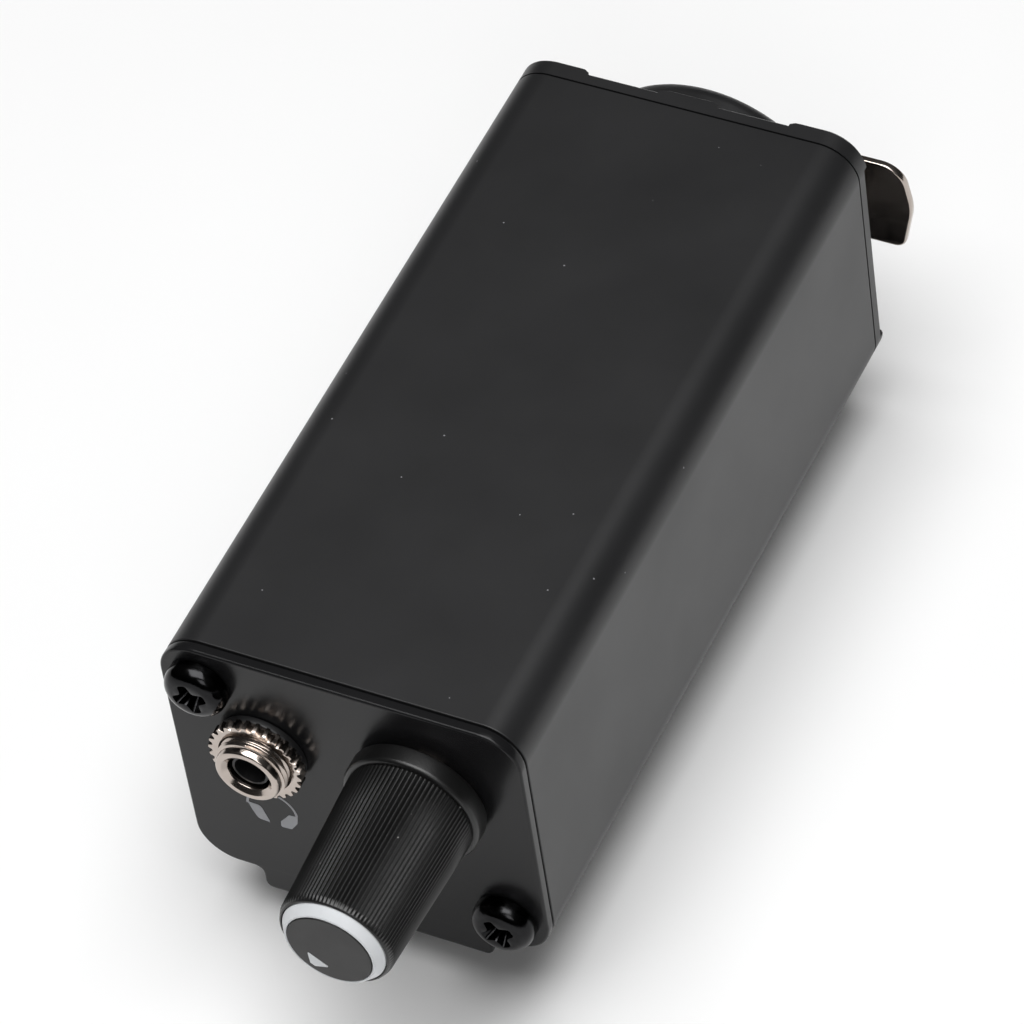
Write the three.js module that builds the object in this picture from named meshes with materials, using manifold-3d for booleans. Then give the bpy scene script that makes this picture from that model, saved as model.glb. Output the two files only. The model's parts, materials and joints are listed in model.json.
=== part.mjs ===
// A belt-worn headphone amplifier: an extruded aluminium case with a headphone jack and a volume
// knob on its front end, an XLR socket with a press latch on its rear end, and a battery door and
// a sprung belt clip on its underside. Millimetres. X is to the right seen from the front, Y runs
// from the front to the rear, and Z is up.
import * as THREE from "three";
import { mergeVertices } from "three/addons/utils/BufferGeometryUtils.js";
import Module from "manifold-3d";

const wasm = await Module();
wasm.setup();

// ---------------------------------------------------------------- driving dimensions
const width = 40; // case, left to right
const height = 33.8; // case, underside to top
const length = 83; // extruded sleeve, front to rear
const cornerRadius = 4.45;
const wall = 1.6;
const seam = 0.15; // gap between the sleeve and each end plate
const fit = 0.3; // clearance between neighbours that touch on the real object
const frontThickness = 1.25;
const rearThickness = 1.55;
const tabWidth = 26; // the front plate's tongue, which covers the battery door's end
const tabDepth = 3.05;
const screwInset = { x: 4.5, z: 4.7 }; // case screws, in from the sides and from top and bottom
const jackAt = { x: -9.6, z: 21.1 };
const knobAt = { x: 8.4, z: 22.5 };
const knobStandoff = 3.2; // plate's face to the face of the knob's collar
const knobBarrel = 17.15; // collar's face to the end of the knob's black barrel
const knobCapProud = 1.15; // the grey cap's face beyond the barrel's end
const socketAt = { x: -0.3, z: 16.9 };
const socketRadius = 14.45;
const socketProud = 6.9; // socket's rim behind the sleeve's end
const clipDrop = 8.2; // underside of the case to the belt clip's outer face
const clipWidth = 16;
const steel = 1; // thickness of the clip's strip
const doorLength = 54.2;
const doorTravel = 8;
const latchReach = 21.6; // latch's outer end from the middle of the case
const latchProud = 2.55; // latch's outer face behind the socket's rim

// ---------------------------------------------------------------- places worked out from them
const frontFace = -seam - frontThickness;
const rearFace = length + seam + rearThickness;
const knobEnd = frontFace - knobStandoff - knobBarrel;
const knobTip = knobEnd - knobCapProud;
const latchTop = length + socketProud + latchProud;
const boardTop = 16.6;
const boardThickness = 1.6;
const cellRadius = 5.25;
const cellZ = 8.1;
const cellX = 5.45;
const clipPivot = { y: 70, z: -4.4 };
const latchPivot = { x: 12.3, y: length + 4.3 };

// ---------------------------------------------------------------- finishes
const finish = (color, roughness, metalness) =>
  new THREE.MeshStandardMaterial({ color, roughness, metalness });
const blackAnodised = () => finish("#2c2c2d", 0.45, 0.6);
const blackPlastic = () => finish("#1b1b1c", 0.6, 0);
const blackScrew = () => finish("#141415", 0.3, 0.8);
const nickel = () => finish("#cfc8c2", 0.22, 1);
const springSteel = () => finish("#b9bcc0", 0.3, 1);
const brass = () => finish("#b08d4a", 0.35, 1);
const whitePlastic = () => finish("#e4e6e8", 0.4, 0);

// ---------------------------------------------------------------- solids
// A closed geometry as a solid, turned to face outwards if its outline ran the other way.
function solidOf(geometry) {
  const bare = geometry.clone();
  bare.deleteAttribute("normal");
  bare.deleteAttribute("uv");
  const merged = mergeVertices(bare, 1e-4);
  const triVerts = new Uint32Array(merged.index.array);
  const vertProperties = merged.attributes.position.array;
  const build = () => new wasm.Manifold(new wasm.Mesh({ numProp: 3, vertProperties, triVerts }));
  const made = build();
  if (made.volume() > 0) return made;
  for (let i = 0; i < triVerts.length; i += 3) {
    const first = triVerts[i];
    triVerts[i] = triVerts[i + 1];
    triVerts[i + 1] = first;
  }
  return build();
}

function geometryOf(solid) {
  const mesh = solid.getMesh();
  const positions = new Float32Array(mesh.numVert * 3);
  for (let i = 0; i < mesh.numVert; i++) {
    positions.set(mesh.vertProperties.subarray(i * mesh.numProp, i * mesh.numProp + 3), i * 3);
  }
  const geometry = new THREE.BufferGeometry();
  geometry.setAttribute("position", new THREE.BufferAttribute(positions, 3));
  geometry.setIndex(new THREE.BufferAttribute(new Uint32Array(mesh.triVerts), 1));
  geometry.computeVertexNormals();
  return geometry;
}

const join = (...solids) => solids.reduce((sum, next) => sum.add(next));
const cut = (solid, ...tools) => tools.reduce((rest, tool) => rest.subtract(tool), solid);

// A block between two corners.
function block(x0, x1, y0, y1, z0, z1) {
  const geometry = new THREE.BoxGeometry(x1 - x0, y1 - y0, z1 - z0);
  return solidOf(geometry.translate((x0 + x1) / 2, (y0 + y1) / 2, (z0 + z1) / 2));
}

// A turned piece whose axis runs along Y: the profile is a list of [radius, y].
function turned(profile, x, z, segments = 32) {
  const points = profile.map(([r, y]) => new THREE.Vector2(r, y));
  return solidOf(new THREE.LatheGeometry(points, segments).translate(x, 0, z));
}

function rod(radius, y0, y1, x, z, segments = 24) {
  return turned([[0, y0], [radius, y0], [radius, y1], [0, y1]], x, z, segments);
}

function ring(outer, inner, y0, y1, x, z, segments = 32) {
  return turned([[inner, y0], [outer, y0], [outer, y1], [inner, y1], [inner, y0]], x, z, segments);
}

// An outline in X and Z, drawn out along Y; edge rounds both of its rims.
function slab(shape, y0, y1, edge = 0) {
  const geometry = new THREE.ExtrudeGeometry(shape, {
    depth: y1 - y0 - 2 * edge,
    bevelEnabled: edge > 0,
    bevelThickness: edge,
    bevelSize: edge,
    bevelOffset: -edge,
    bevelSegments: 1,
    curveSegments: 6,
  });
  return solidOf(geometry.rotateX(Math.PI / 2).translate(0, y1 - edge, 0));
}

// An outline in Y and Z, drawn out along X.
function strip(shape, x0, x1) {
  const geometry = new THREE.ExtrudeGeometry(shape, {
    depth: x1 - x0,
    bevelEnabled: false,
    curveSegments: 6,
  });
  const axes = new THREE.Matrix4().makeBasis(
    new THREE.Vector3(0, 1, 0),
    new THREE.Vector3(0, 0, 1),
    new THREE.Vector3(1, 0, 0),
  );
  return solidOf(geometry.applyMatrix4(axes).translate(x0, 0, 0));
}

// A straight rod along X or Z.
function crossRod(radius, from, to, along, segments = 16) {
  const geometry = new THREE.CylinderGeometry(radius, radius, to - from, segments);
  if (along.axis === "x") geometry.rotateZ(Math.PI / 2);
  else geometry.rotateX(Math.PI / 2);
  const middle = (from + to) / 2;
  const at = { x: along.x ?? middle, y: along.y, z: along.z ?? middle };
  return solidOf(geometry.translate(at.x, at.y, at.z));
}

function roundedRectangle(w, h, r, cx, cz) {
  const shape = new THREE.Shape();
  const [left, right, low, high] = [cx - w / 2, cx + w / 2, cz - h / 2, cz + h / 2];
  shape.moveTo(left + r, low);
  shape.lineTo(right - r, low);
  shape.absarc(right - r, low + r, r, -Math.PI / 2, 0);
  shape.lineTo(right, high - r);
  shape.absarc(right - r, high - r, r, 0, Math.PI / 2);
  shape.lineTo(left + r, high);
  shape.absarc(left + r, high - r, r, Math.PI / 2, Math.PI);
  shape.lineTo(left, low + r);
  shape.absarc(left + r, low + r, r, Math.PI, Math.PI * 1.5);
  return shape;
}

// A wire of round section along a path, with closed ends.
class Helix extends THREE.Curve {
  constructor(radius, endRadius, turns, rise) {
    super();
    Object.assign(this, { radius, endRadius, turns, rise });
  }
  getPoint(t, target = new THREE.Vector3()) {
    const angle = t * this.turns * 2 * Math.PI;
    const r = this.radius + (this.endRadius - this.radius) * t;
    return target.set(r * Math.cos(angle), t * this.rise, r * Math.sin(angle));
  }
}

function wire(path, radius, steps, sides = 6) {
  const section = new THREE.Shape();
  for (let i = 0; i < sides; i++) {
    const angle = (i / sides) * 2 * Math.PI;
    const point = [radius * Math.cos(angle), radius * Math.sin(angle)];
    if (i === 0) section.moveTo(...point);
    else section.lineTo(...point);
  }
  section.closePath();
  return new THREE.ExtrudeGeometry(section, { steps, extrudePath: path });
}

const casePlaces = [-1, 1].flatMap((side) =>
  [-1, 1].map((level) => ({
    side,
    level,
    x: side * (width / 2 - screwInset.x),
    z: level < 0 ? screwInset.z : height - screwInset.z,
  })),
);
const caseOutline = () => roundedRectangle(width, height, cornerRadius, 0, height / 2);

// ---------------------------------------------------------------- the case
// The extrusion: a tube with a screw channel in each corner and a pair of rails for the board.
function housingSleeve() {
  const inner = roundedRectangle(
    width - 2 * wall,
    height - 2 * wall,
    cornerRadius - wall,
    0,
    height / 2,
  );
  let sleeve = cut(slab(caseOutline(), 0, length), slab(inner, -1, length + 1));
  const innerSide = width / 2 - wall;
  for (const { x, z } of casePlaces) {
    const clear = slab(caseOutline(), 0, length);
    sleeve = join(sleeve, rod(3.4, 0, length, x, z, 20).intersect(clear));
  }
  for (const side of [-1, 1]) {
    for (const z of [boardTop + fit, boardTop - boardThickness - fit - 0.8]) {
      const edges = [side * (innerSide - 1), side * (innerSide + 0.2)].sort((a, b) => a - b);
      sleeve = join(sleeve, block(...edges, 0, length, z, z + 0.8));
    }
  }
  for (const { x, z } of casePlaces) sleeve = cut(sleeve, rod(1.7, -1, length + 1, x, z, 16));
  sleeve = cut(sleeve, block(-11.2, 11.2, 6, 52, -1, wall + 1));
  for (const y of hookPlaces) {
    const from = y + doorTravel - fit;
    sleeve = cut(sleeve, block(-12.5, 12.5, from, from + hookLength + 2 * fit, -1, wall + 0.5));
  }
  const clipHoles = clipScrewPlaces.map((at) => clipBore(1.6, at, -1, wall + 1));
  return cut(sleeve, ...clipHoles);
}

// The front plate: the case's outline, with a tongue below that covers the battery door's end.
function frontPlate() {
  const half = tabWidth / 2;
  const [r, t] = [0.9, cornerRadius];
  const right = width / 2;
  const shape = new THREE.Shape();
  shape.moveTo(-half + r, -tabDepth);
  shape.lineTo(half - r, -tabDepth);
  shape.absarc(half - r, -tabDepth + r, r, -Math.PI / 2, 0);
  shape.lineTo(half, -r);
  shape.absarc(half + r, -r, r, Math.PI, Math.PI / 2, true);
  shape.lineTo(right - t, 0);
  shape.absarc(right - t, t, t, -Math.PI / 2, 0);
  shape.lineTo(right, height - t);
  shape.absarc(right - t, height - t, t, 0, Math.PI / 2);
  shape.lineTo(-right + t, height);
  shape.absarc(-right + t, height - t, t, Math.PI / 2, Math.PI);
  shape.lineTo(-right, t);
  shape.absarc(-right + t, t, t, Math.PI, Math.PI * 1.5);
  shape.lineTo(-half - r, 0);
  shape.absarc(-half - r, -r, r, Math.PI / 2, 0, true);
  shape.lineTo(-half, -tabDepth + r);
  shape.absarc(-half + r, -tabDepth + r, r, Math.PI, Math.PI * 1.5);
  const plate = slab(shape, frontFace, -seam, 0.25);
  const screwHoles = frontScrewPlaces.map(({ x, z }) => rod(2, frontFace - 1, 1, x, z, 20));
  const jackHole = rod(4.3, frontFace - 1, 1, jackAt.x, jackAt.z, 28);
  const potHole = rod(4.1, frontFace - 1, 1, knobAt.x, knobAt.z, 28);
  return cut(plate, ...screwHoles, jackHole, potHole);
}

// The rear plate: thin in the middle, with a raised pad in each corner and a small one at the top.
function rearPlate() {
  const padRise = 0.65;
  let plate = slab(caseOutline(), length + seam, rearFace, 0.25);
  const outline = slab(caseOutline(), rearFace - 0.6, rearFace + padRise);
  for (const { x, z, side, level } of casePlaces) {
    const across = [side * 12.2, side * 21].sort((a, b) => a - b);
    const edge = level > 0 ? [height - 4, height + 1] : [-1, 4];
    const corner = block(...across, rearFace - 0.3, rearFace + padRise, ...edge);
    const boss = rod(3.7, rearFace - 0.3, rearFace + padRise, x, z, 16);
    plate = join(plate, join(corner, boss).intersect(outline));
  }
  const topPad = block(-2.9, 2.9, rearFace - 0.3, rearFace + 0.45, height - 1.6, height + 1);
  plate = join(plate, topPad.intersect(outline));
  const sinks = casePlaces.map(({ x, z }) => countersink(x, z));
  return cut(plate, rod(12.3, length - 1, rearFace + 2, socketAt.x, socketAt.z, 32), ...sinks);
}

function countersink(x, z) {
  const top = rearFace + 0.65;
  const profile = [
    [0, length - 1],
    [2, length - 1],
    [2, top - 1.75],
    [3.2, top - 0.3],
    [3.2, top + 0.5],
    [0, top + 0.5],
  ];
  return turned(profile, x, z, 16);
}

// ---------------------------------------------------------------- fasteners
const frontScrewPlaces = casePlaces.filter(({ side, level }) => side !== level);

// A cross recess that narrows as it goes in; depth runs along Y from the head's top.
function crossRecess(size, y, depth, x, z) {
  const arm = (w, h) => {
    const taper = new THREE.CylinderGeometry(Math.SQRT1_2, Math.SQRT1_2 * 0.72, 1, 4, 1);
    taper.rotateY(Math.PI / 4);
    return solidOf(taper.scale(w, depth, h).rotateX(depth > 0 ? Math.PI : 0).translate(x, y, z));
  };
  return join(arm(size, size * 0.27), arm(size * 0.27, size));
}

// A pan-head tapping screw that goes in along +Y, with its head on the front plate.
function panScrew({ x, z }) {
  const face = frontFace - 0.05;
  const headHeight = 2.5;
  const dome = [];
  for (let i = 0; i <= 4; i++) {
    const angle = (i / 4) * 0.98 * (Math.PI / 2);
    const lift = 0.9 + (headHeight - 0.9) * Math.sin(angle);
    dome.push([3.4 * Math.pow(Math.cos(angle), 0.75), face - lift]);
  }
  const profile = [
    [0, 8],
    [0.9, 8],
    [1.4, 7],
    [1.4, face],
    [3.3, face],
    ...dome,
    [0, face - headHeight],
  ];
  return cut(turned(profile, x, z, 24), crossRecess(3.9, face - headHeight, 2.6, x, z));
}

// A countersunk tapping screw that goes in along -Y, flush with the rear plate's pad.
function sunkScrew({ x, z }) {
  const top = rearFace + 0.5;
  const profile = [
    [0, top - 9],
    [0.9, top - 9],
    [1.4, top - 8],
    [1.4, top - 1.6],
    [2.8, top - 0.3],
    [2.8, top],
    [0, top],
  ];
  return cut(turned(profile, x, z, 16), crossRecess(3, top, 1.6, x, z));
}

// ---------------------------------------------------------------- the headphone jack
function jackBarrel() {
  const [tip, back] = [frontFace - 4, -fit];
  const profile = [
    [2.3, back],
    [3.9, back],
    [3.9, tip + 0.4],
    [3.55, tip],
    [2.7, tip],
    [2.3, tip + 0.4],
    [2.3, back],
  ];
  return turned(profile, jackAt.x, jackAt.z, 32);
}

// The knurled nut: square-cut teeth round its rim.
function jackNut() {
  const teeth = 28;
  const shape = new THREE.Shape();
  for (let i = 0; i < teeth; i++) {
    for (const [share, radius] of [[0, 4.75], [0.25, 5.2], [0.6, 5.2], [0.85, 4.75]]) {
      const angle = ((i + share) / teeth) * 2 * Math.PI;
      const [x, z] = [jackAt.x + radius * Math.cos(angle), jackAt.z + radius * Math.sin(angle)];
      if (i === 0 && share === 0) shape.moveTo(x, z);
      else shape.lineTo(x, z);
    }
  }
  shape.closePath();
  const bore = rod(4.05, frontFace - 3, 1, jackAt.x, jackAt.z, 32);
  return cut(slab(shape, frontFace - 2.1, frontFace - 0.05), bore);
}

// The jack's moulded body, with a sleeve that lines the barrel.
function jackBody() {
  const body = block(jackAt.x - 4.7, jackAt.x + 4.7, 0, 13, jackAt.z - 4.1, jackAt.z + 4.1);
  const lining = rod(2, frontFace - 3.1, 1, jackAt.x, jackAt.z, 20);
  return cut(join(body, lining), rod(1.75, knobTip, 11, jackAt.x, jackAt.z, 20));
}

// The three solder tags under the jack's body that reach the board.
function jackContact(index) {
  const y = 3.4 + 3.6 * index;
  const side = jackAt.x + (index % 2 ? 5 : -5.6);
  return block(side, side + 0.6, y, y + 1.4, boardTop + 0.05, jackAt.z + 2);
}

// ---------------------------------------------------------------- the volume control
const knobBase = frontFace - knobStandoff + 2.3;
const knobRadiusAt = (y) => 6.9 - 0.75 * ((frontFace - knobStandoff - y) / knobBarrel);

function knobBody() {
  const collar = frontFace - knobStandoff;
  const profile = [
    [6.15, knobBase],
    [7.45, knobBase],
    [7.45, collar + 0.35],
    [7.15, collar],
    [knobRadiusAt(collar), collar - 0.1],
    [knobRadiusAt(knobEnd + 0.7), knobEnd + 0.7],
    [5.9, knobEnd],
    [5.7, knobEnd],
    [5.7, knobEnd + 1.3],
    [0, knobEnd + 1.3],
    [0, knobEnd + 2.6],
    [3.2, knobEnd + 2.6],
    [3.2, knobBase - 5.6],
    [6.15, knobBase - 5.6],
    [6.15, knobBase],
  ];
  return turned(profile, knobAt.x, knobAt.z, 40);
}

// The white ring: a cone between the barrel's end and the cap's rim.
function knobRing() {
  const profile = [
    [4.7, knobTip + 0.1],
    [4.85, knobTip + 0.1],
    [5.6, knobEnd],
    [5.6, knobEnd + 1.1],
    [4.7, knobEnd + 1.1],
    [4.7, knobTip + 0.1],
  ];
  return turned(profile, knobAt.x, knobAt.z, 40);
}

// The pointer's outline: a three-sided mark whose apex looks outwards at the seven o'clock stop.
function pointerShape(grow) {
  const shape = new THREE.Shape();
  const angle = THREE.MathUtils.degToRad(-124.5);
  const out = new THREE.Vector2(Math.cos(angle), Math.sin(angle));
  const across = new THREE.Vector2(-out.y, out.x);
  const corner = (radial, sideways) => [
    knobAt.x + out.x * radial + across.x * sideways,
    knobAt.z + out.y * radial + across.y * sideways,
  ];
  shape.moveTo(...corner(3 - grow, -1.3 - grow));
  shape.lineTo(...corner(3 - grow, 1.3 + grow));
  shape.lineTo(...corner(4.3 + grow, 0.35 + grow));
  shape.lineTo(...corner(4.3 + grow, -0.35 - grow));
  shape.closePath();
  return shape;
}

function knobCap() {
  const disc = rod(4.6, knobTip + 0.05, knobEnd + 1.1, knobAt.x, knobAt.z, 40);
  return cut(disc, slab(pointerShape(0.1), knobTip - 1, knobTip + 0.5));
}

const knobPointer = () => slab(pointerShape(0), knobTip, knobTip + 0.4);

function potShaft() {
  const shaft = rod(2.9, knobEnd + 3, 9, knobAt.x, knobAt.z, 24);
  const flat = block(knobAt.x - 4, knobAt.x + 4, knobTip, -8.5, knobAt.z + 1.6, knobAt.z + 4);
  return cut(shaft, flat);
}

const potBushing = () => ring(3.75, 3.15, frontFace - 5, -fit, knobAt.x, knobAt.z, 24);

function potNut() {
  const hexagon = new THREE.Shape();
  for (let i = 0; i < 6; i++) {
    const angle = (i * Math.PI) / 3;
    const point = [knobAt.x + 5.7 * Math.cos(angle), knobAt.z + 5.7 * Math.sin(angle)];
    if (i === 0) hexagon.moveTo(...point);
    else hexagon.lineTo(...point);
  }
  hexagon.closePath();
  const [front, back] = [frontFace - 2.5, frontFace - 0.55];
  return cut(slab(hexagon, front, back), rod(3.9, front - 1, back + 1, knobAt.x, knobAt.z, 32));
}

const potWasher = () => ring(5.4, 3.9, frontFace - 0.5, frontFace - 0.05, knobAt.x, knobAt.z, 24);

function potBody() {
  const body = block(knobAt.x - 4.6, knobAt.x + 4.6, 0, 10.5, knobAt.z - 5.6, knobAt.z + 3.8);
  return cut(body, rod(3.2, -1, 9.4, knobAt.x, knobAt.z, 24));
}

const potSwitch = () =>
  block(knobAt.x - 4.6, knobAt.x + 4.6, 10.8, 16, knobAt.z - 5.6, knobAt.z + 3.6);

// ---------------------------------------------------------------- the circuit board
const circuitBoard = () => block(-18, 18, 0.6, 58, boardTop - boardThickness, boardTop);

function amplifierChip() {
  const [x, y] = [-1.5, 26];
  const body = block(x - 2, x + 2, y - 2.6, y + 2.6, boardTop + 0.25, boardTop + 1.75);
  const legs = [];
  for (let i = 0; i < 4; i++) {
    const at = y - 1.9 + i * 1.27;
    legs.push(block(x - 3, x + 3, at - 0.2, at + 0.2, boardTop + 0.05, boardTop + 0.6));
  }
  return join(body, ...legs);
}

// A radial can capacitor that stands on the board.
function capacitor(x, y, radius, tall) {
  const points = [
    [0, boardTop + 0.1],
    [radius, boardTop + 0.1],
    [radius, boardTop + 0.9],
    [radius - 0.25, boardTop + 1.2],
    [radius, boardTop + 1.5],
    [radius, boardTop + tall],
    [0, boardTop + tall],
  ].map(([r, z]) => new THREE.Vector2(r, z));
  const can = new THREE.LatheGeometry(points, 16).rotateX(Math.PI / 2);
  return solidOf(can.translate(x, y, 0));
}

// ---------------------------------------------------------------- the batteries
const cellStart = [6.1, 7.5];

function batteryTray() {
  const [from, to, top] = [4.6, 53.4, 14.4];
  const outer = block(-11.7, 11.7, from, to, 3.1, top);
  const inner = block(-10.95, 10.95, from + 0.8, to - 0.8, 2, top - 0.9);
  return cut(outer, inner);
}

// One cell: its button end looks forwards, or rearwards on the second.
function batteryCell(index) {
  const y = cellStart[index];
  const profile = [
    [0, y],
    [1.9, y],
    [1.9, y + 1],
    [5, y + 1],
    [cellRadius, y + 1.3],
    [cellRadius, y + 44.2],
    [5, y + 44.5],
    [0, y + 44.5],
  ];
  const flipped = profile.map(([r, at]) => [r, 2 * y + 44.5 - at]);
  const x = index ? cellX : -cellX;
  return turned(index ? flipped : profile, x, cellZ, 20);
}

const cellLink = () => block(-9.4, 9.4, 5.5, 5.8, cellZ - 3.8, cellZ + 3.8);

function cellTerminal(index) {
  const x = index ? cellX : -cellX;
  return block(x - 4.2, x + 4.2, 52.2, 52.5, cellZ - 3.8, cellZ + 3.8);
}

function cellSpring(index) {
  const y = index ? cellStart[1] - 0.25 : cellStart[0] + 44.5 + 0.25;
  const rise = index ? -1.2 : 1.2;
  const coil = wire(new Helix(2.2, 3.4, 2.5, rise), 0.2, 30, 5);
  return solidOf(coil.translate(index ? cellX : -cellX, y, cellZ));
}

// ---------------------------------------------------------------- the battery door
const hookPlaces = [10, 38];
const hookLength = 5;

function batteryDoor() {
  const [front, under] = [fit, -tabDepth + fit];
  const shape = new THREE.Shape();
  const half = tabWidth / 2;
  const r = 0.9;
  shape.moveTo(-half, -0.2);
  shape.lineTo(-half, under + r);
  shape.absarc(-half + r, under + r, r, Math.PI, Math.PI * 1.5);
  shape.lineTo(half - r, under);
  shape.absarc(half - r, under + r, r, -Math.PI / 2, 0);
  shape.lineTo(half, -0.2);
  shape.closePath();
  let door = slab(shape, front, front + doorLength);
  door = cut(door, block(-11.6, 11.6, front + 1.4, front + doorLength - 1.4, -1.5, 1));
  for (const y of hookPlaces) {
    for (const side of [-1, 1]) {
      const span = (a, b) => [side * a, side * b].sort((p, q) => p - q);
      const stem = block(...span(10.1, 10.9), y, y + hookLength, -1.8, wall + 0.9);
      const lip = block(...span(10.1, 12), y, y + hookLength, wall + 0.25, wall + 0.9);
      door = join(door, stem, lip);
    }
  }
  for (let i = 0; i < 4; i++) {
    const y = 2.2 + 1.5 * i;
    door = cut(door, block(-6, 6, y, y + 0.6, under - 1, under + 0.4));
  }
  return door;
}

// ---------------------------------------------------------------- the belt clip
const clipScrewPlaces = [
  { x: -4.2, y: 80 },
  { x: 4.2, y: 80 },
];
const earX = clipWidth / 2 + 0.4;

function clipBore(radius, { x, y }, z0, z1) {
  return crossRod(radius, z0, z1, { axis: "z", x, y }, 16);
}

// The bracket: a steel channel screwed to the underside, with two ears for the pivot pin.
function clipBracket() {
  const [front, back] = [66, 82.6];
  const base = block(-earX - steel, earX + steel, front, back, -steel - 0.1, -0.1);
  const ear = new THREE.Shape();
  ear.moveTo(front, -0.1);
  ear.lineTo(front, clipPivot.z);
  ear.absarc(clipPivot.y, clipPivot.z, 2.4, Math.PI, 2 * Math.PI);
  ear.lineTo(clipPivot.y + 2.4, clipPivot.z);
  ear.lineTo(clipPivot.y + 5, -steel);
  ear.lineTo(clipPivot.y + 5, -0.1);
  ear.closePath();
  const ears = [strip(ear, earX, earX + steel), strip(ear, -earX - steel, -earX)];
  const pinHole = crossRod(1.15, -12, 12, { axis: "x", y: clipPivot.y, z: clipPivot.z });
  const holes = clipScrewPlaces.map((at) => clipBore(1.6, at, -3, 1));
  return cut(join(base, ...ears), pinHole, ...holes);
}

// The arm: a flat spring-steel strip whose front end dips to the door and turns out again, with a
// rolled knuckle over the pin and a thumb rest behind it.
function clipArm() {
  const low = -clipDrop;
  const high = low + steel;
  const touch = -tabDepth + fit - 0.35; // the dip's crest, just clear of the door
  const shape = new THREE.Shape();
  shape.moveTo(82.6, low);
  shape.lineTo(17.5, low);
  shape.quadraticCurveTo(15.5, low, 14.4, low + 2);
  shape.quadraticCurveTo(12.8, touch - steel, 11.6, touch - steel);
  shape.quadraticCurveTo(10.4, touch - steel, 9.4, low + 2.6);
  shape.lineTo(8.4, low + 1.2);
  shape.lineTo(7.6, low + 1.8);
  shape.lineTo(8.6, low + 3.2);
  shape.quadraticCurveTo(9.8, touch, 11.6, touch);
  shape.quadraticCurveTo(13.6, touch, 15.3, low + 2.6);
  shape.quadraticCurveTo(16.2, high, 17.5, high);
  shape.lineTo(82.6, high);
  shape.closePath();
  const half = clipWidth / 2;
  const knuckle = crossRod(1.9, -half, half, { axis: "x", y: clipPivot.y, z: clipPivot.z }, 20);
  const web = block(-half, half, clipPivot.y - 1.9, clipPivot.y + 1.9, low + 0.2, clipPivot.z);
  const room = block(-3.6, 3.6, clipPivot.y - 3, clipPivot.y + 3, high, 0);
  const pinHole = crossRod(1.2, -12, 12, { axis: "x", y: clipPivot.y, z: clipPivot.z });
  return cut(join(strip(shape, -half, half), cut(join(knuckle, web), room)), pinHole);
}

const clipPin = () =>
  crossRod(0.9, -earX - steel - 0.3, earX + steel + 0.3, {
    axis: "x",
    y: clipPivot.y,
    z: clipPivot.z,
  });

function clipSpring() {
  const coil = wire(new Helix(1.6, 1.6, 4, 5.6), 0.35, 48, 5);
  return solidOf(coil.rotateZ(Math.PI / 2).translate(2.8, clipPivot.y, clipPivot.z));
}

// A low pan-head screw that goes up through the bracket into the case.
function clipScrew({ x, y }) {
  const under = -steel - 0.15;
  const profile = [
    [0, 3.2],
    [0.8, 3.2],
    [1.25, 2.6],
    [1.25, under],
    [2.4, under],
    [2.4, under - 0.7],
    [1.9, under - 1.3],
    [0, under - 1.4],
  ].map(([r, z]) => new THREE.Vector2(r, z));
  const body = new THREE.LatheGeometry(profile, 16).rotateX(Math.PI / 2);
  const slot = block(x - 1.5, x + 1.5, y - 0.3, y + 0.3, under - 2, under - 0.6);
  const crossSlot = block(x - 0.3, x + 0.3, y - 1.5, y + 1.5, under - 2, under - 0.6);
  return cut(solidOf(body.translate(x, y, 0)), slot, crossSlot);
}

// ---------------------------------------------------------------- the XLR socket
const pinPlaces = [
  { x: -3.8, z: 2.2 },
  { x: 3.8, z: 2.2 },
  { x: 0, z: -4.4 },
].map(({ x, z }) => ({ x: socketAt.x + x, z: socketAt.z + z }));

// The shell: a barrel inside the case and a round-edged collar outside, cut for the latch.
function socketShell() {
  const rim = length + socketProud;
  const edge = 2.2;
  const profile = [
    [9.7, 61],
    [11.9, 61],
    [11.9, rearFace + 0.1],
    [socketRadius, rearFace + 0.1],
    [socketRadius, rim - edge],
  ];
  for (let i = 1; i <= 4; i++) {
    const angle = (i / 4) * (Math.PI / 2);
    const radius = socketRadius - edge + edge * Math.cos(angle);
    profile.push([radius, rim - edge + edge * Math.sin(angle)]);
  }
  profile.push([10.3, rim], [9.7, rim - 0.6], [9.7, 61]);
  const shell = turned(profile, socketAt.x, socketAt.z, 48);
  const [z0, z1] = [socketAt.z - 5.5, socketAt.z + 5.5];
  const slot = block(9, 15, rearFace + 1, rim + 1, z0, z1);
  const pinHole = crossRod(0.9, z0 - 1.7, z1 + 1.7, { axis: "z", ...latchPivot });
  return cut(shell, slot, pinHole);
}

function socketInsert() {
  const front = length + socketProud - 1.2;
  const profile = [
    [0, 61.4],
    [9.3, 61.4],
    [9.3, 64],
    [7.9, 64],
    [7.9, front - 0.5],
    [7.4, front],
    [0, front],
  ];
  const insert = turned(profile, socketAt.x, socketAt.z, 32);
  const holes = pinPlaces.map(({ x, z }) => rod(1.85, 60, front + 1, x, z, 16));
  const key = block(-1, 1, front - 8, front + 1, socketAt.z + 6.4, socketAt.z + 9);
  return cut(insert, ...holes, key);
}

function socketContact({ x, z }) {
  const front = length + socketProud - 2;
  const profile = [
    [0, 57.5],
    [0.7, 57.5],
    [0.7, 61.6],
    [1.5, 61.6],
    [1.5, front],
    [1.15, front],
    [1.15, front - 12],
    [0, front - 12],
  ];
  return turned(profile, x, z, 12);
}

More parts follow.
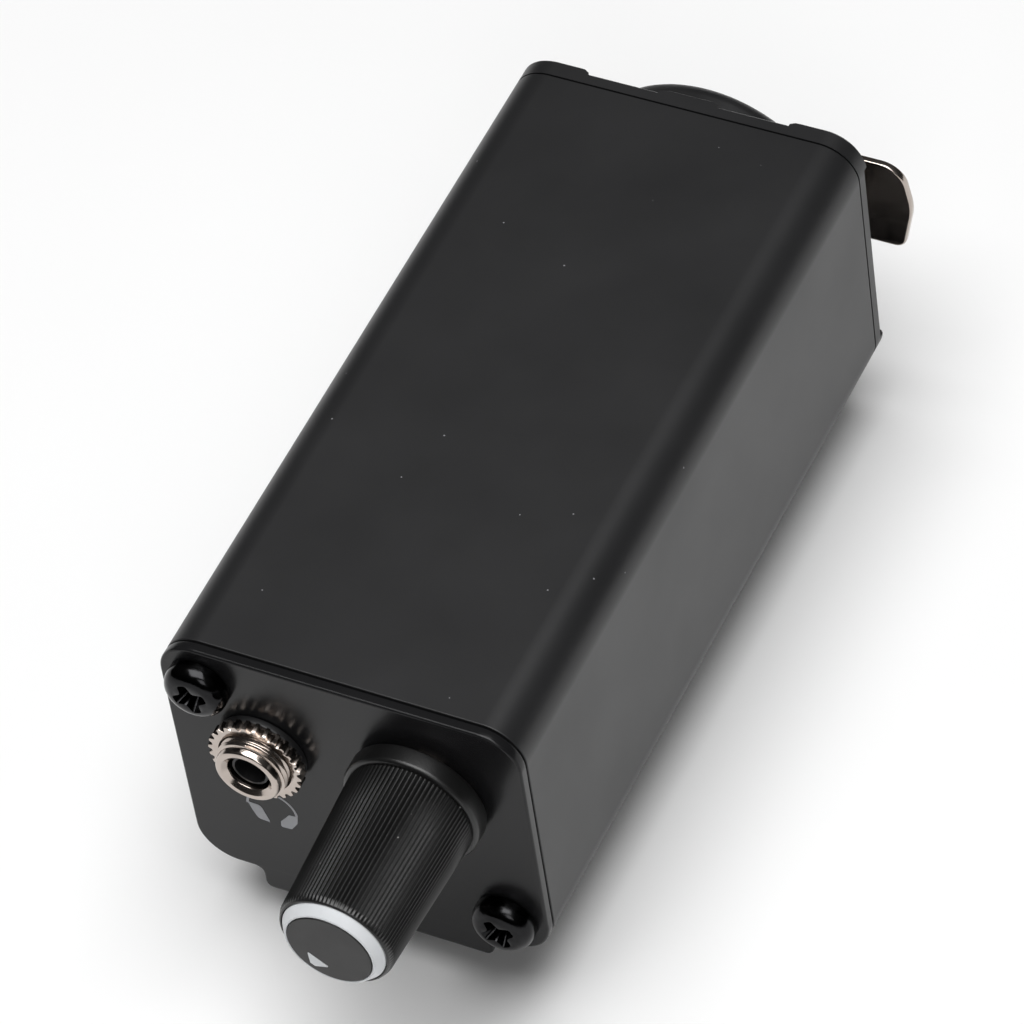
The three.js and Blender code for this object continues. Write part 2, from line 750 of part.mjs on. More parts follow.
// The latch: a plated tab with a bowed outer end, a leg with the pivot's knuckle, and a nose.
function latchTab() {
  const half = 6.1;
  const shape = new THREE.Shape();
  const bow = 11;
  const sweep = Math.asin((half - 1.2) / bow);
  const centre = latchReach - bow;
  const z = socketAt.z;
  shape.moveTo(10.6, z - half);
  shape.lineTo(latchReach - 2.6, z - half);
  shape.absarc(centre, z, bow, -sweep, sweep);
  shape.lineTo(latchReach - 2.6, z + half);
  shape.lineTo(10.6, z + half);
  shape.closePath();
  const tab = slab(shape, latchTop - 0.9, latchTop);
  const { x, y } = latchPivot;
  const leg = block(10.6, 11.6, y, latchTop - 0.5, z - 5, z + 1.2);
  const web = block(10.6, x, y - 1.2, y + 1.2, z - 5, z + 1.2);
  const knuckle = crossRod(1.2, z - 5, z + 1.2, { axis: "z", x, y });
  const nose = block(8.9, 11, latchTop - 1.9, latchTop - 0.5, z - 2, z + 1.2);
  const bore = crossRod(0.8, z - 8, z + 8, { axis: "z", x, y });
  return cut(join(tab, leg, web, knuckle, nose), bore);
}

const latchPin = () =>
  crossRod(0.55, socketAt.z - 7, socketAt.z + 7, { axis: "z", ...latchPivot });

function latchSpring() {
  const coil = wire(new Helix(1.05, 1.05, 3, 2.4), 0.2, 30, 5);
  return solidOf(
    coil.rotateX(Math.PI / 2).translate(latchPivot.x, latchPivot.y, socketAt.z + 2.1),
  );
}

// A lead from a socket contact forward to the board.
function socketLead(index) {
  const { x, z } = pinPlaces[index];
  const path = new THREE.CatmullRomCurve3([
    new THREE.Vector3(x, 57, z),
    new THREE.Vector3(x, 54.5, z + 0.4),
    new THREE.Vector3((x + leadEnds[index]) / 2, 51.5, Math.max(z, boardTop + 3.2) + 1),
    new THREE.Vector3(leadEnds[index], 49, boardTop + 3),
    new THREE.Vector3(leadEnds[index], 48.6, boardTop + 0.4),
  ]);
  return solidOf(wire(path, 0.65, 12, 6));
}
const leadEnds = [-6, 6];

// ---------------------------------------------------------------- the assembly
const assembly = new THREE.Group();
// The frame's origin is the middle of the whole object's box, on the face it rests on.
assembly.position.set(-(latchReach - width / 2) / 2, -(knobTip + latchTop) / 2, clipDrop);

function place(name, solid, material) {
  const mesh = new THREE.Mesh(geometryOf(solid), material);
  mesh.name = name;
  assembly.add(mesh);
}

place("housing_sleeve", housingSleeve(), blackAnodised());
place("front_plate", frontPlate(), blackAnodised());
place("rear_plate", rearPlate(), blackAnodised());
frontScrewPlaces.forEach((at, i) => place(`front_screw_${i + 1}`, panScrew(at), blackScrew()));
casePlaces.forEach((at, i) => place(`rear_screw_${i + 1}`, sunkScrew(at), blackScrew()));

place("jack_barrel", jackBarrel(), nickel());
place("jack_nut", jackNut(), nickel());
place("jack_body", jackBody(), blackPlastic());
[0, 1, 2].forEach((i) => place(`jack_contact_${i + 1}`, jackContact(i), brass()));

place("knob_body", knobBody(), blackPlastic());
place("knob_ring", knobRing(), whitePlastic());
place("knob_cap", knobCap(), finish("#464545", 0.55, 0));
place("knob_pointer", knobPointer(), whitePlastic());
place("pot_shaft", potShaft(), nickel());
place("pot_bushing", potBushing(), nickel());
place("pot_nut", potNut(), nickel());
place("pot_washer", potWasher(), nickel());
place("pot_body", potBody(), finish("#1f5a3c", 0.6, 0));
place("pot_switch", potSwitch(), blackPlastic());

place("circuit_board", circuitBoard(), finish("#1d4f2f", 0.5, 0));
place("amplifier_chip", amplifierChip(), blackPlastic());
[[-9, 22, 3.1, 7], [-9, 31, 3.1, 7], [6, 27, 4, 9], [6, 37, 4, 9]].forEach((can, i) =>
  place(`capacitor_${i + 1}`, capacitor(...can), finish("#20263a", 0.35, 0.3)),
);
leadEnds.forEach((_, i) => place(`socket_lead_${i + 1}`, socketLead(i), finish("#8c1f1f", 0.6, 0)));

place("battery_tray", batteryTray(), blackPlastic());
[0, 1].forEach((i) => place(`battery_cell_${i + 1}`, batteryCell(i), finish("#3a3d42", 0.35, 0.5)));
place("cell_link", cellLink(), nickel());
[0, 1].forEach((i) => place(`cell_terminal_${i + 1}`, cellTerminal(i), nickel()));
[0, 1].forEach((i) => place(`cell_spring_${i + 1}`, cellSpring(i), springSteel()));
place("battery_door", batteryDoor(), blackPlastic());

place("clip_bracket", clipBracket(), springSteel());
place("clip_arm", clipArm(), springSteel());
place("clip_pin", clipPin(), springSteel());
place("clip_spring", clipSpring(), springSteel());
clipScrewPlaces.forEach((at, i) => place(`clip_screw_${i + 1}`, clipScrew(at), blackScrew()));

place("socket_shell", socketShell(), blackPlastic());
place("socket_insert", socketInsert(), blackPlastic());
pinPlaces.forEach((at, i) => place(`socket_contact_${i + 1}`, socketContact(at), brass()));
place("latch_tab", latchTab(), nickel());
place("latch_pin", latchPin(), springSteel());
place("latch_spring", latchSpring(), springSteel());

export default assembly;
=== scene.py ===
# %% [markdown]
# # A belt-pack headphone amplifier
# The CAD model already has the right sizes and joints, but its edges are sharp and its round
# parts have flat sides. This lesson builds every piece that can be seen once more, with rounded
# rims, real threads and knurls, gives each its finish, and sets up a small photo studio.

# %% Load the frame
import json
import math

import bmesh
import bpy
from mathutils import Matrix, Vector


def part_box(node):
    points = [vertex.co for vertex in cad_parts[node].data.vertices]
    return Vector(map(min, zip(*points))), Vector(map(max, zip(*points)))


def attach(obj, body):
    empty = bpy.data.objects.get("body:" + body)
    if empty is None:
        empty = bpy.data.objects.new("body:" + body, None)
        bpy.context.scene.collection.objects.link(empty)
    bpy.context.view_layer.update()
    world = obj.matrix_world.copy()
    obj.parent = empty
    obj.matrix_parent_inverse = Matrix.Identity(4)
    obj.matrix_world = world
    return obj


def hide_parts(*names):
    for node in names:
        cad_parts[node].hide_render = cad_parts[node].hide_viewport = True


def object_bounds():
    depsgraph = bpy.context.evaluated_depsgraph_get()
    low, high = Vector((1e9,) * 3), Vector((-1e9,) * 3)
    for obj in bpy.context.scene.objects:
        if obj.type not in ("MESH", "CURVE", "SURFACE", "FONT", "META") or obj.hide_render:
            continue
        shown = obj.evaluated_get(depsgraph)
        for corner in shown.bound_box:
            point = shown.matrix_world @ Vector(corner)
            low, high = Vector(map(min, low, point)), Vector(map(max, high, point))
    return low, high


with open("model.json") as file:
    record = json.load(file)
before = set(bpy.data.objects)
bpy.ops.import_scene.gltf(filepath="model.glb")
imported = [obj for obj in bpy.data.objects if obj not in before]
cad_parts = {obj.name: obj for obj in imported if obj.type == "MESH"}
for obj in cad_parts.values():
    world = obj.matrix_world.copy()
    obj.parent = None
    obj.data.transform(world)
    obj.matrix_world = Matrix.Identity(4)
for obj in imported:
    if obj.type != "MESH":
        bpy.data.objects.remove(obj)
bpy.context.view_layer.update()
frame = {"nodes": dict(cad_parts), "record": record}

# %% [markdown]
# ## One place to measure from
# Drawings of a case like this are dimensioned in millimetres from one corner or middle line.
# Ours is the bottom middle of the sleeve's front end: X to the right, Y to the rear, Z up.
# Everything below is drawn in that system and turned into metres at the very end.

# %% The datum
MM = 0.001
sleeve_low, sleeve_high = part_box("housing_sleeve")
DATUM = Vector(((sleeve_low.x + sleeve_high.x) / 2, sleeve_low.y, sleeve_low.z))


def span(node):
    """A CAD node's lowest and highest corner, in millimetres from the datum."""
    low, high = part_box(node)
    return (low - DATUM) / MM, (high - DATUM) / MM


def middle(node):
    low, high = span(node)
    return (low + high) / 2


def depth_of(node):
    """Where a node starts and ends along Y."""
    low, high = span(node)
    return low.y, high.y


SIDE = span("housing_sleeve")[1].x
TOP = span("housing_sleeve")[1].z
LENGTH = span("housing_sleeve")[1].y
print(f"sleeve: {2 * SIDE:.1f} wide, {TOP:.1f} high, {LENGTH:.1f} long")

# %% [markdown]
# ## Drawing outlines
# Most of these pieces are sawn, stamped or turned, so each starts as a flat outline. A corner
# list with a radius at each corner is how a draughtsman writes one, and arcs drawn with enough
# points never show as flats.

# %% Outlines with rounded corners
def rounded(corners, steps=10, closed=True):
    """Points through corners (x, y, radius), each turned into an arc of its radius."""
    points = []
    last = len(corners) - 1
    for index, (x, y, radius) in enumerate(corners):
        here = Vector((x, y))
        if radius == 0 or (not closed and index in (0, last)):
            points.append(here)
            continue
        back = (Vector(corners[index - 1][:2]) - here).normalized()
        onward = (Vector(corners[(index + 1) % len(corners)][:2]) - here).normalized()
        half = back.angle(onward) / 2
        centre = here + (back + onward).normalized() * radius / math.sin(half)
        reach = radius / math.tan(half)
        points += arc(centre, here + back * reach, here + onward * reach, steps)
    return points


def arc(centre, start, end, steps):
    """Points on the shorter arc from start to end."""
    first = math.atan2(start.y - centre.y, start.x - centre.x)
    turn = math.atan2(end.y - centre.y, end.x - centre.x) - first
    turn = (turn + math.pi) % (2 * math.pi) - math.pi
    radius = (start - centre).length
    return sweep(centre, radius, first, first + turn, steps)


def sweep(centre, radius, first, last, steps):
    """Points on an arc from one angle to another."""
    points = []
    for step in range(steps + 1):
        angle = first + (last - first) * step / steps
        points.append(Vector(centre) + radius * Vector((math.cos(angle), math.sin(angle))))
    return points


def circle(x, y, radius, steps=48):
    return sweep((x, y), radius, 0, 2 * math.pi * (1 - 1 / steps), steps - 1)


def rectangle(left, right, low, high, radius=0.0, steps=10):
    corners = [(left, low, radius), (right, low, radius), (right, high, radius), (left, high, radius)]
    return rounded(corners, steps)


def thickened(path, thickness):
    """The outline of a strip of even thickness bent along a path."""
    left, right = [], []
    for index, point in enumerate(path):
        before = path[max(index - 1, 0)]
        after = path[min(index + 1, len(path) - 1)]
        along = (after - before).normalized()
        across = Vector((-along.y, along.x)) * thickness / 2
        left.append(point + across)
        right.append(point - across)
    return left + right[::-1]


CORNER = 4.45
case_outline = rectangle(-SIDE, SIDE, 0, TOP, CORNER, steps=24)
print("case outline:", len(case_outline), "points")

# %% [markdown]
# ## From outlines to solids
# A 2D curve with filled faces, an extrusion and a bevel is the quickest clean way to a plate
# with holes: the bevel rounds every rim, holes too. Turned parts are a profile spun round an
# axis. Booleans then mill away what neither can make. All of it is worked on plain meshes.

# %% Plates, turned parts and milling
FACING = {  # which way the drawing's depth runs: its own x and y take the other two axes
    "x": Matrix(((0, 0, 1, 0), (1, 0, 0, 0), (0, 1, 0, 0), (0, 0, 0, 1))),
    "y": Matrix(((1, 0, 0, 0), (0, 0, 1, 0), (0, 1, 0, 0), (0, 0, 0, 1))),
    "z": Matrix.Identity(4),
}
CLOSE = 1e-4  # points nearer than this are one point


def cleaned(mesh):
    """Welds a mesh, drops slivers and turns its faces outwards."""
    form = bmesh.new()
    form.from_mesh(mesh)
    bmesh.ops.remove_doubles(form, verts=form.verts, dist=CLOSE)
    bmesh.ops.dissolve_degenerate(form, edges=form.edges, dist=CLOSE)
    bmesh.ops.recalc_face_normals(form, faces=form.faces)
    form.to_mesh(mesh)
    form.free()
    return mesh


def evaluated(thing):
    """The mesh of an object after its curve settings or modifiers, and the object removed."""
    bpy.context.scene.collection.objects.link(thing)
    graph = bpy.context.evaluated_depsgraph_get()
    mesh = bpy.data.meshes.new_from_object(thing.evaluated_get(graph))
    bpy.data.objects.remove(thing)
    return mesh


def plate(outlines, low, high, facing, edge=0.0, steps=3):
    """Outlines (outside first, then holes) drawn out from low to high, with rims rounded by edge."""
    drawing = bpy.data.curves.new("drawing", "CURVE")
    drawing.dimensions = "2D"
    drawing.fill_mode = "BOTH"
    drawing.extrude = (high - low) / 2 - edge
    drawing.bevel_depth = edge
    drawing.bevel_resolution = steps
    drawing.offset = -edge
    for outline in outlines:
        spline = drawing.splines.new("POLY")
        spline.points.add(len(outline) - 1)
        for point, (x, y) in zip(spline.points, outline):
            point.co = (x, y, 0, 1)
        spline.use_cyclic_u = True
    mesh = evaluated(bpy.data.objects.new("drawing", drawing))
    mesh.transform(FACING[facing] @ Matrix.Translation((0, 0, (low + high) / 2)))
    return cleaned(mesh)


def turned(profile, facing, x=0.0, y=0.0, z=0.0, segments=96, relief=None):
    """A profile of (radius, place) points spun round an axis; relief may shape the radius."""
    form = bmesh.new()
    rings = []
    for radius, place in profile:
        ring = []
        for step in range(segments):
            angle = 2 * math.pi * step / segments
            reach = relief(angle, radius, place) if relief else radius
            ring.append(form.verts.new((reach * math.cos(angle), reach * math.sin(angle), place)))
        rings.append(ring)
    for index, ring in enumerate(rings):
        following = (index + 1) % len(rings)
        if profile[index][0] < CLOSE and profile[following][0] < CLOSE:
            continue
        other = rings[following]
        for step in range(segments):
            beside = (step + 1) % segments
            form.faces.new((ring[step], ring[beside], other[beside], other[step]))
    mesh = bpy.data.meshes.new("turned")
    form.to_mesh(mesh)
    form.free()
    mesh.transform(Matrix.Translation((x, y, z)) @ FACING[facing])
    return cleaned(mesh)


def block(low, high):
    """A plain block between two corners, used as a milling cutter or a lug."""
    outline = rectangle(low[0], high[0], low[1], high[1])
    return plate([outline], low[2], high[2], "z")


def milled(mesh, *tools, operation="DIFFERENCE"):
    """Cuts tools out of a mesh, or joins or keeps what they share."""
    for tool in tools:
        cutter = bpy.data.objects.new("cutter", tool)
        bpy.context.scene.collection.objects.link(cutter)
        work = bpy.data.objects.new("work", mesh)
        boolean = work.modifiers.new("milling", "BOOLEAN")
        boolean.object = cutter
        boolean.operation = operation
        boolean.solver = "EXACT"
        mesh = evaluated(work)
        bpy.data.objects.remove(cutter)
    return cleaned(mesh)


def joined(mesh, *others):
    return milled(mesh, *others, operation="UNION")


def broken_edges(mesh, width, segments=2, angle=50):
    """Rounds the edges that are sharper than an angle, as a deburring tool would."""
    work = bpy.data.objects.new("work", mesh)
    bevel = work.modifiers.new("deburr", "BEVEL")
    bevel.width = width
    bevel.segments = segments
    bevel.limit_method = "ANGLE"
    bevel.angle_limit = math.radians(angle)
    return cleaned(evaluated(work))


# %% [markdown]
# ## Colour and nodes
# Colours are written as the sRGB hex values a designer would quote, and one function turns them
# linear. One function adds a shader node with its settings and links. Patterns are sized in real
# millimetres, so a texture's scale is worked out from the distance between its features.

# %% Colour, scale and one way to add a node
def linear(hex_colour):
    """An sRGB hex colour as linear red, green, blue and alpha."""
    channels = []
    for start in (1, 3, 5):
        value = int(hex_colour[start:start + 2], 16) / 255
        channels.append(value / 12.92 if value <= 0.04045 else ((value + 0.055) / 1.055) ** 2.4)
    return (*channels, 1.0)


def per(millimetres):
    """The texture scale that puts features this far apart."""
    return 1 / (millimetres * MM)


def add(tree, kind, inputs=None, **settings):
    """Adds a node: settings are its options, inputs are values or other nodes' sockets."""
    made = tree.nodes.new("ShaderNode" + kind)
    for name, value in settings.items():
        setattr(made, name, value)
    for name, value in (inputs or {}).items():
        if isinstance(value, bpy.types.NodeSocket):
            tree.links.new(value, made.inputs[name])
        else:
            made.inputs[name].default_value = value
    return made


print("mid grey is", round(linear("#808080")[0], 3), "linear")

# %% [markdown]
# ## A finish
# Almost nothing is one even colour: dye, plating and moulding all drift a little over a few
# millimetres, the gloss drifts with them, and a fine grain breaks up the reflections. Every
# finish here starts from those three things and then adds what is special to it.

# %% The start of every finish
def finish(name, colours, roughness, grain, height, metallic=0.0, ior=1.5, cloud=9.0):
    """Two close colours and a range of roughness that drift, and a grain: sizes in millimetres."""
    material = bpy.data.materials.new(name)
    material.use_nodes = True
    tree = material.node_tree
    shader = tree.nodes["Principled BSDF"]
    shader.inputs["Metallic"].default_value = metallic
    shader.inputs["IOR"].default_value = ior
    where = add(tree, "TexCoord").outputs["Object"]
    drift = add(tree, "TexNoise", {"Vector": where, "Scale": per(cloud), "Detail": 4.0})
    low, high = [linear(colour) for colour in colours]
    tone = add(tree, "MixRGB", {"Fac": drift.outputs["Fac"], "Color1": low, "Color2": high})
    gloss = add(tree, "MapRange", {"Value": drift.outputs["Fac"], "From Min": 0.3, "From Max": 0.7,
                                   "To Min": roughness[0], "To Max": roughness[1]})
    fine = add(tree, "TexNoise", {"Vector": where, "Scale": per(grain), "Detail": 3.0})
    bump = add(tree, "Bump", {"Height": fine.outputs["Fac"], "Distance": height * MM})
    tree.links.new(tone.outputs["Color"], shader.inputs["Base Color"])
    tree.links.new(gloss.outputs["Result"], shader.inputs["Roughness"])
    tree.links.new(bump.outputs["Normal"], shader.inputs["Normal"])
    return material


def dust(material, spacing, size, share, colour):
    """Scatters pale specks over a finish: spacing and size in millimetres, share of places used."""
    tree = material.node_tree
    shader = tree.nodes["Principled BSDF"]
    tone = shader.inputs["Base Color"].links[0].from_socket
    where = add(tree, "TexCoord").outputs["Object"]
    cells = add(tree, "TexVoronoi", {"Vector": where, "Scale": per(spacing)})
    near = add(tree, "Math", {0: cells.outputs["Distance"], 1: size / spacing / 2},
               operation="LESS_THAN")
    pick = add(tree, "SeparateColor", {"Color": cells.outputs["Color"]})
    chosen = add(tree, "Math", {0: pick.outputs["Red"], 1: share}, operation="LESS_THAN")
    mask = add(tree, "Math", {0: near.outputs["Value"], 1: chosen.outputs["Value"]},
               operation="MULTIPLY")
    mixed = add(tree, "MixRGB", {"Fac": mask.outputs["Value"], "Color1": tone,
                                 "Color2": linear(colour)})
    tree.links.new(mixed.outputs["Color"], shader.inputs["Base Color"])
    return material


# %% [markdown]
# ## Black anodised aluminium
# The sleeve is extruded, the plates are stamped; all are blasted with fine beads, anodised and
# dyed black. The dyed and sealed oxide is a clear hard film over dark grey, so the eye sees a
# satin near-black that turns grey where it reflects at a low angle. The front plate gets a
# smoother finish than the rest of the case, so that it faintly mirrors what stands on it. How
# rough and how shiny each finish is was set, not measured. Dust shows up on both.

# %% Anodised aluminium
def anodised_aluminium(name, colours, roughness, shine):
    blasted = finish(name, colours, roughness, grain=0.16, height=0.006, ior=1.47, cloud=14)
    blasted.node_tree.nodes["Principled BSDF"].inputs["Specular IOR Level"].default_value = shine
    dust(blasted, spacing=1.7, size=0.2, share=0.14, colour="#7c7c7f")
    return dust(blasted, spacing=5.5, size=0.34, share=0.2, colour="#a6a6a9")


ANODISED = anodised_aluminium("blasted_black_anodised_extrusion", ("#1d1d1e", "#212122"),
                              (0.38, 0.44), shine=0.5)
ANODISED_PLATE = anodised_aluminium("sealed_black_anodised_plate", ("#161617", "#1a1a1b"),
                                    (0.2, 0.27), shine=0.25)

# %% [markdown]
# ## The other metals
# Screws are steel with a black zinc plate: near-black metal with small sharp highlights. The jack
# is nickel-plated brass, warmer than chrome, with faint turning marks. The clip, pins and springs
# are bare spring steel, rolled in one direction. A metal keeps the shader's own IOR.

# %% Plated and bare metals
def black_zinc_steel():
    plated = finish("black_zinc_plated_steel", ("#1d1d1e", "#303031"), (0.1, 0.24),
                    grain=0.7, height=0.02, metallic=1.0, cloud=1.4)
    return dust(plated, spacing=1.2, size=0.12, share=0.12, colour="#8a8a8a")


def nickel_plate():
    return finish("turned_nickel_plated_brass", ("#aca199", "#c4bab2"), (0.12, 0.22),
                  grain=0.3, height=0.006, metallic=1.0, cloud=2.0)


def spring_steel():
    """Rolled strip: fine lines along Y, 0.08 mm apart across it, drawn at 0.2 so that they show."""
    steel = finish("rolled_spring_steel", ("#a3a6aa", "#b7babd"), (0.26, 0.36),
                   grain=0.4, height=0.004, metallic=1.0, cloud=6)
    tree = steel.node_tree
    where = add(tree, "TexCoord").outputs["Object"]
    drawn = add(tree, "Mapping", {"Vector": where, "Scale": (1.0, 0.03, 1.0)})
    lines = add(tree, "TexNoise", {"Vector": drawn.outputs["Vector"], "Scale": per(0.2)})
    grooves = add(tree, "Bump", {"Height": lines.outputs["Fac"], "Distance": 0.004 * MM})
    tree.links.new(grooves.outputs["Normal"], tree.nodes["Principled BSDF"].inputs["Normal"])
    return steel


def contact_plate():
    return finish("silver_plated_contact_brass", ("#b79a5c", "#cdb27a"), (0.22, 0.34),
                  grain=0.3, height=0.004, metallic=1.0, cloud=2.0)


BLACK_ZINC = black_zinc_steel()
NICKEL = nickel_plate()
STEEL = spring_steel()
CONTACT = contact_plate()

# %% [markdown]
# ## Plastics and ink
# The knob is moulded in black ABS in a lightly sparked tool, so it is duller than polished ABS.
# Its white band is a second plastic that lets a little light in, which softens its shading. The
# socket, door and tray are glass-filled nylon with a slightly coarser skin. The symbol is pale
# screen-printed ink.

# %% Plastics and ink
def knob_abs():
    moulded = finish("sparked_black_abs", ("#090909", "#0e0e0e"), (0.3, 0.38), grain=0.2,
                     height=0.01, ior=1.5, cloud=6)
    return dust(moulded, spacing=1.5, size=0.18, share=0.16, colour="#8c8c8c")


def white_abs():
    white = finish("milky_white_abs", ("#cdd0d3", "#dadcde"), (0.38, 0.48), grain=0.3,
                   height=0.004, ior=1.53, cloud=3)
    shader = white.node_tree.nodes["Principled BSDF"]
    shader.inputs["Subsurface Weight"].default_value = 0.25
    shader.inputs["Subsurface Radius"].default_value = (1.0, 1.0, 1.0)
    shader.inputs["Subsurface Scale"].default_value = 0.4 * MM
    return white


def grey_abs():
    return finish("sparked_grey_abs", ("#191818", "#1e1d1d"), (0.5, 0.58), grain=0.12,
                  height=0.008, ior=1.53, cloud=3)


def filled_nylon():
    moulded = finish("glass_filled_black_nylon", ("#161617", "#1d1d1e"), (0.4, 0.52), grain=0.25,
                     height=0.012, ior=1.53, cloud=5)
    return dust(moulded, spacing=1.9, size=0.14, share=0.1, colour="#6e6e70")


def printed_ink():
    return finish("screen_printed_pale_ink", ("#8f9094", "#a0a1a5"), (0.45, 0.55), grain=0.12,
                  height=0.004, ior=1.5, cloud=0.8)


KNOB_BLACK = knob_abs()
WHITE = white_abs()
CAP_GREY = grey_abs()
NYLON = filled_nylon()
INK = printed_ink()

# %% [markdown]
# ## Inside parts
# The board, the control, the capacitors, leads and cells are carried over from the CAD model,
# since they only show with the case open. They still get the finish of what they are.

# %% Finishes for the inside
INSIDE = {
    "board_laminate": finish("green_solder_mask_laminate", ("#173f27", "#1f5233"), (0.3, 0.4),
                             grain=0.5, height=0.006, ior=1.55, cloud=7),
    "pot_resin": finish("moulded_phenolic_resin", ("#1c4f36", "#245f42"), (0.42, 0.52),
                        grain=0.3, height=0.01, ior=1.6, cloud=4),
    "capacitor_can": finish("shrunk_dark_blue_sleeve", ("#1b2238", "#232c47"), (0.28, 0.36),
                            grain=0.8, height=0.01, ior=1.54, cloud=3),
    "lead_sleeve": finish("red_pvc_sleeve", ("#7d1a1a", "#932222"), (0.4, 0.5),
                          grain=0.5, height=0.01, ior=1.53, cloud=3),
    "cell_can": finish("printed_cell_wrap", ("#30343a", "#3d4249"), (0.25, 0.34),
                       grain=0.6, height=0.006, ior=1.5, cloud=9),
    "black_plastic": NYLON,
    "contact_brass": CONTACT,
    "nickel_plate": NICKEL,
    "spring_steel": STEEL,
    "black_screw": BLACK_ZINC,
    "anodised_case": ANODISED,
    "knob_plastic": KNOB_BLACK,
    "knob_white": WHITE,
    "knob_grey": CAP_GREY,
}

for part in frame["record"]["subparts"]:
    carried = frame["nodes"][part["node"]].data
    carried.materials.clear()
    carried.materials.append(INSIDE[part["material_slot"]])

# %% [markdown]
# ## Handing a piece over
# A finished piece is moved from drawing millimetres to the shared frame, shaded smooth except at
# real edges, and tied to the body it rides on; its slot picks its finish unless one is given, and
# the CAD nodes it stands for are hidden. Weighted normals keep large flats flat next to their small
# rounded rims.

# %% One way to finish a piece
def hand_over(name, mesh, body, slot, *nodes, material=None, sharp=38):
    """Places a piece in the frame, dresses it and ties it to its body."""
    mesh.transform(Matrix.Translation(DATUM) @ Matrix.Scale(MM, 4))
    mesh.name = name
    mesh.materials.clear()
    mesh.materials.append(material or INSIDE[slot])
    mesh.shade_smooth()
    mesh.set_sharp_from_angle(angle=math.radians(sharp))
    piece = bpy.data.objects.new(name, mesh)
    bpy.context.scene.collection.objects.link(piece)
    weighted = piece.modifiers.new("flat faces stay flat", "WEIGHTED_NORMAL")
    weighted.keep_sharp = True
    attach(piece, body)
    if nodes:
        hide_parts(*nodes)
    size = [round(side / MM, 1) for side in piece.dimensions]
    print(f"{name}: {size} mm, {len(mesh.polygons)} faces")
    return piece


# %% [markdown]
# ## The extruded sleeve
# The case is one aluminium extrusion sawn to length: a rounded tube with a screw channel in each
# corner and two rails for the board down each side. Its section is a drawing, so it is one plate
# drawn out to the case's length, and then milled for the battery bay, the door's hooks and the
# clip's screws. The saw cut's edges are only just broken.

# %% The sleeve's section
WALL = 1.6
CHANNEL = 3.4  # radius of the metal round each screw channel
SCREW = middle("rear_screw_4")
INNER_SIDE = SIDE - WALL
rails = sorted(span("circuit_board")[1].z + gap for gap in (-2.7, -1.9, 0.3, 1.1))


def cavity_corner():
    """The cavity's wall round the upper right screw channel, as angles and as points."""
    aside = INNER_SIDE - SCREW.x
    above = TOP - WALL - SCREW.z
    first = -math.acos(aside / CHANNEL)
    last = math.asin(above / CHANNEL) - math.pi
    return sweep((SCREW.x, SCREW.z), CHANNEL, first, -math.pi - last, 20)


def cavity():
    """The inside of the sleeve: four corners round the channels and the rails between them."""
    upper_right = cavity_corner()
    upper_left = [Vector((-p.x, p.y)) for p in reversed(upper_right)]
    lower_left = [Vector((-p.x, TOP - p.y)) for p in upper_right]
    lower_right = [Vector((p.x, TOP - p.y)) for p in reversed(upper_right)]
    teeth = []
    for index, level in enumerate(rails):
        ends = (INNER_SIDE, INNER_SIDE - 1) if index % 2 == 0 else (INNER_SIDE - 1, INNER_SIDE)
        teeth += [Vector((x, level)) for x in ends]
    mirrored = [Vector((-p.x, p.y)) for p in reversed(teeth)]
    return teeth + upper_right + upper_left + mirrored + lower_left + lower_right


screw_places = [(side * SCREW.x, level) for side in (-1, 1) for level in (TOP - SCREW.z, SCREW.z)]
section = [case_outline, cavity()] + [circle(x, z, 1.7, 32) for x, z in screw_places]
print("sleeve section:", sum(len(outline) for outline in section), "points")

# %% The sleeve, milled
sleeve = plate(section, 0, LENGTH, "y", edge=0.12, steps=2)
door_low, door_high = span("battery_door")
HOOK_STARTS = (10, 38)  # where the door's hooks start while it is shut
HOOK_LENGTH = 5
DOOR_TRAVEL = 8
PLAY = 0.3
bay = block((-11.2, 6, -1), (11.2, 52, WALL + 1))
hook_slots = []
for y in HOOK_STARTS:
    opened = y + DOOR_TRAVEL
    hook_slots.append(block((-12.5, opened - PLAY, -1),
                            (12.5, opened + HOOK_LENGTH + PLAY, WALL + 0.5)))
clip_screws = [middle("clip_screw_1"), middle("clip_screw_2")]
clip_holes = [plate([circle(at.x, at.y, 1.6, 32)], -1, WALL + 1, "z") for at in clip_screws]
sleeve = milled(sleeve, bay, *hook_slots, *clip_holes)
hand_over("case_sleeve", sleeve, "case", "anodised_case", "housing_sleeve")

# %% [markdown]
# ## The front plate
# A stamped plate the shape of the case with a tongue below that hides the battery door's end.
# The press leaves a soft edge of about a quarter of a millimetre all round, and that edge is
# what draws the light line along the plate, so it has to be real geometry.

# %% The front plate
FRONT, FRONT_BACK = depth_of("front_plate")
TONGUE = span("front_plate")[0].z
TONGUE_SIDE = door_high.x
jack = middle("jack_barrel")
knob = middle("knob_ring")
front_screws = [middle("front_screw_1"), middle("front_screw_2")]
front_outline = rounded([
    (-TONGUE_SIDE, TONGUE, 0.9), (TONGUE_SIDE, TONGUE, 0.9), (TONGUE_SIDE, 0, 0.9),
    (SIDE, 0, CORNER), (SIDE, TOP, CORNER), (-SIDE, TOP, CORNER), (-SIDE, 0, CORNER),
    (-TONGUE_SIDE, 0, 0.9)], steps=16)
front_holes = [circle(at.x, at.z, 2) for at in front_screws]
front_holes += [circle(jack.x, jack.z, 4.3), circle(knob.x, knob.z, 4.1)]
front = plate([front_outline] + front_holes, FRONT, FRONT_BACK, "y", edge=0.28, steps=3)
hand_over("front_end_plate", front, "case", "anodised_case", "front_plate",
          material=ANODISED_PLATE)

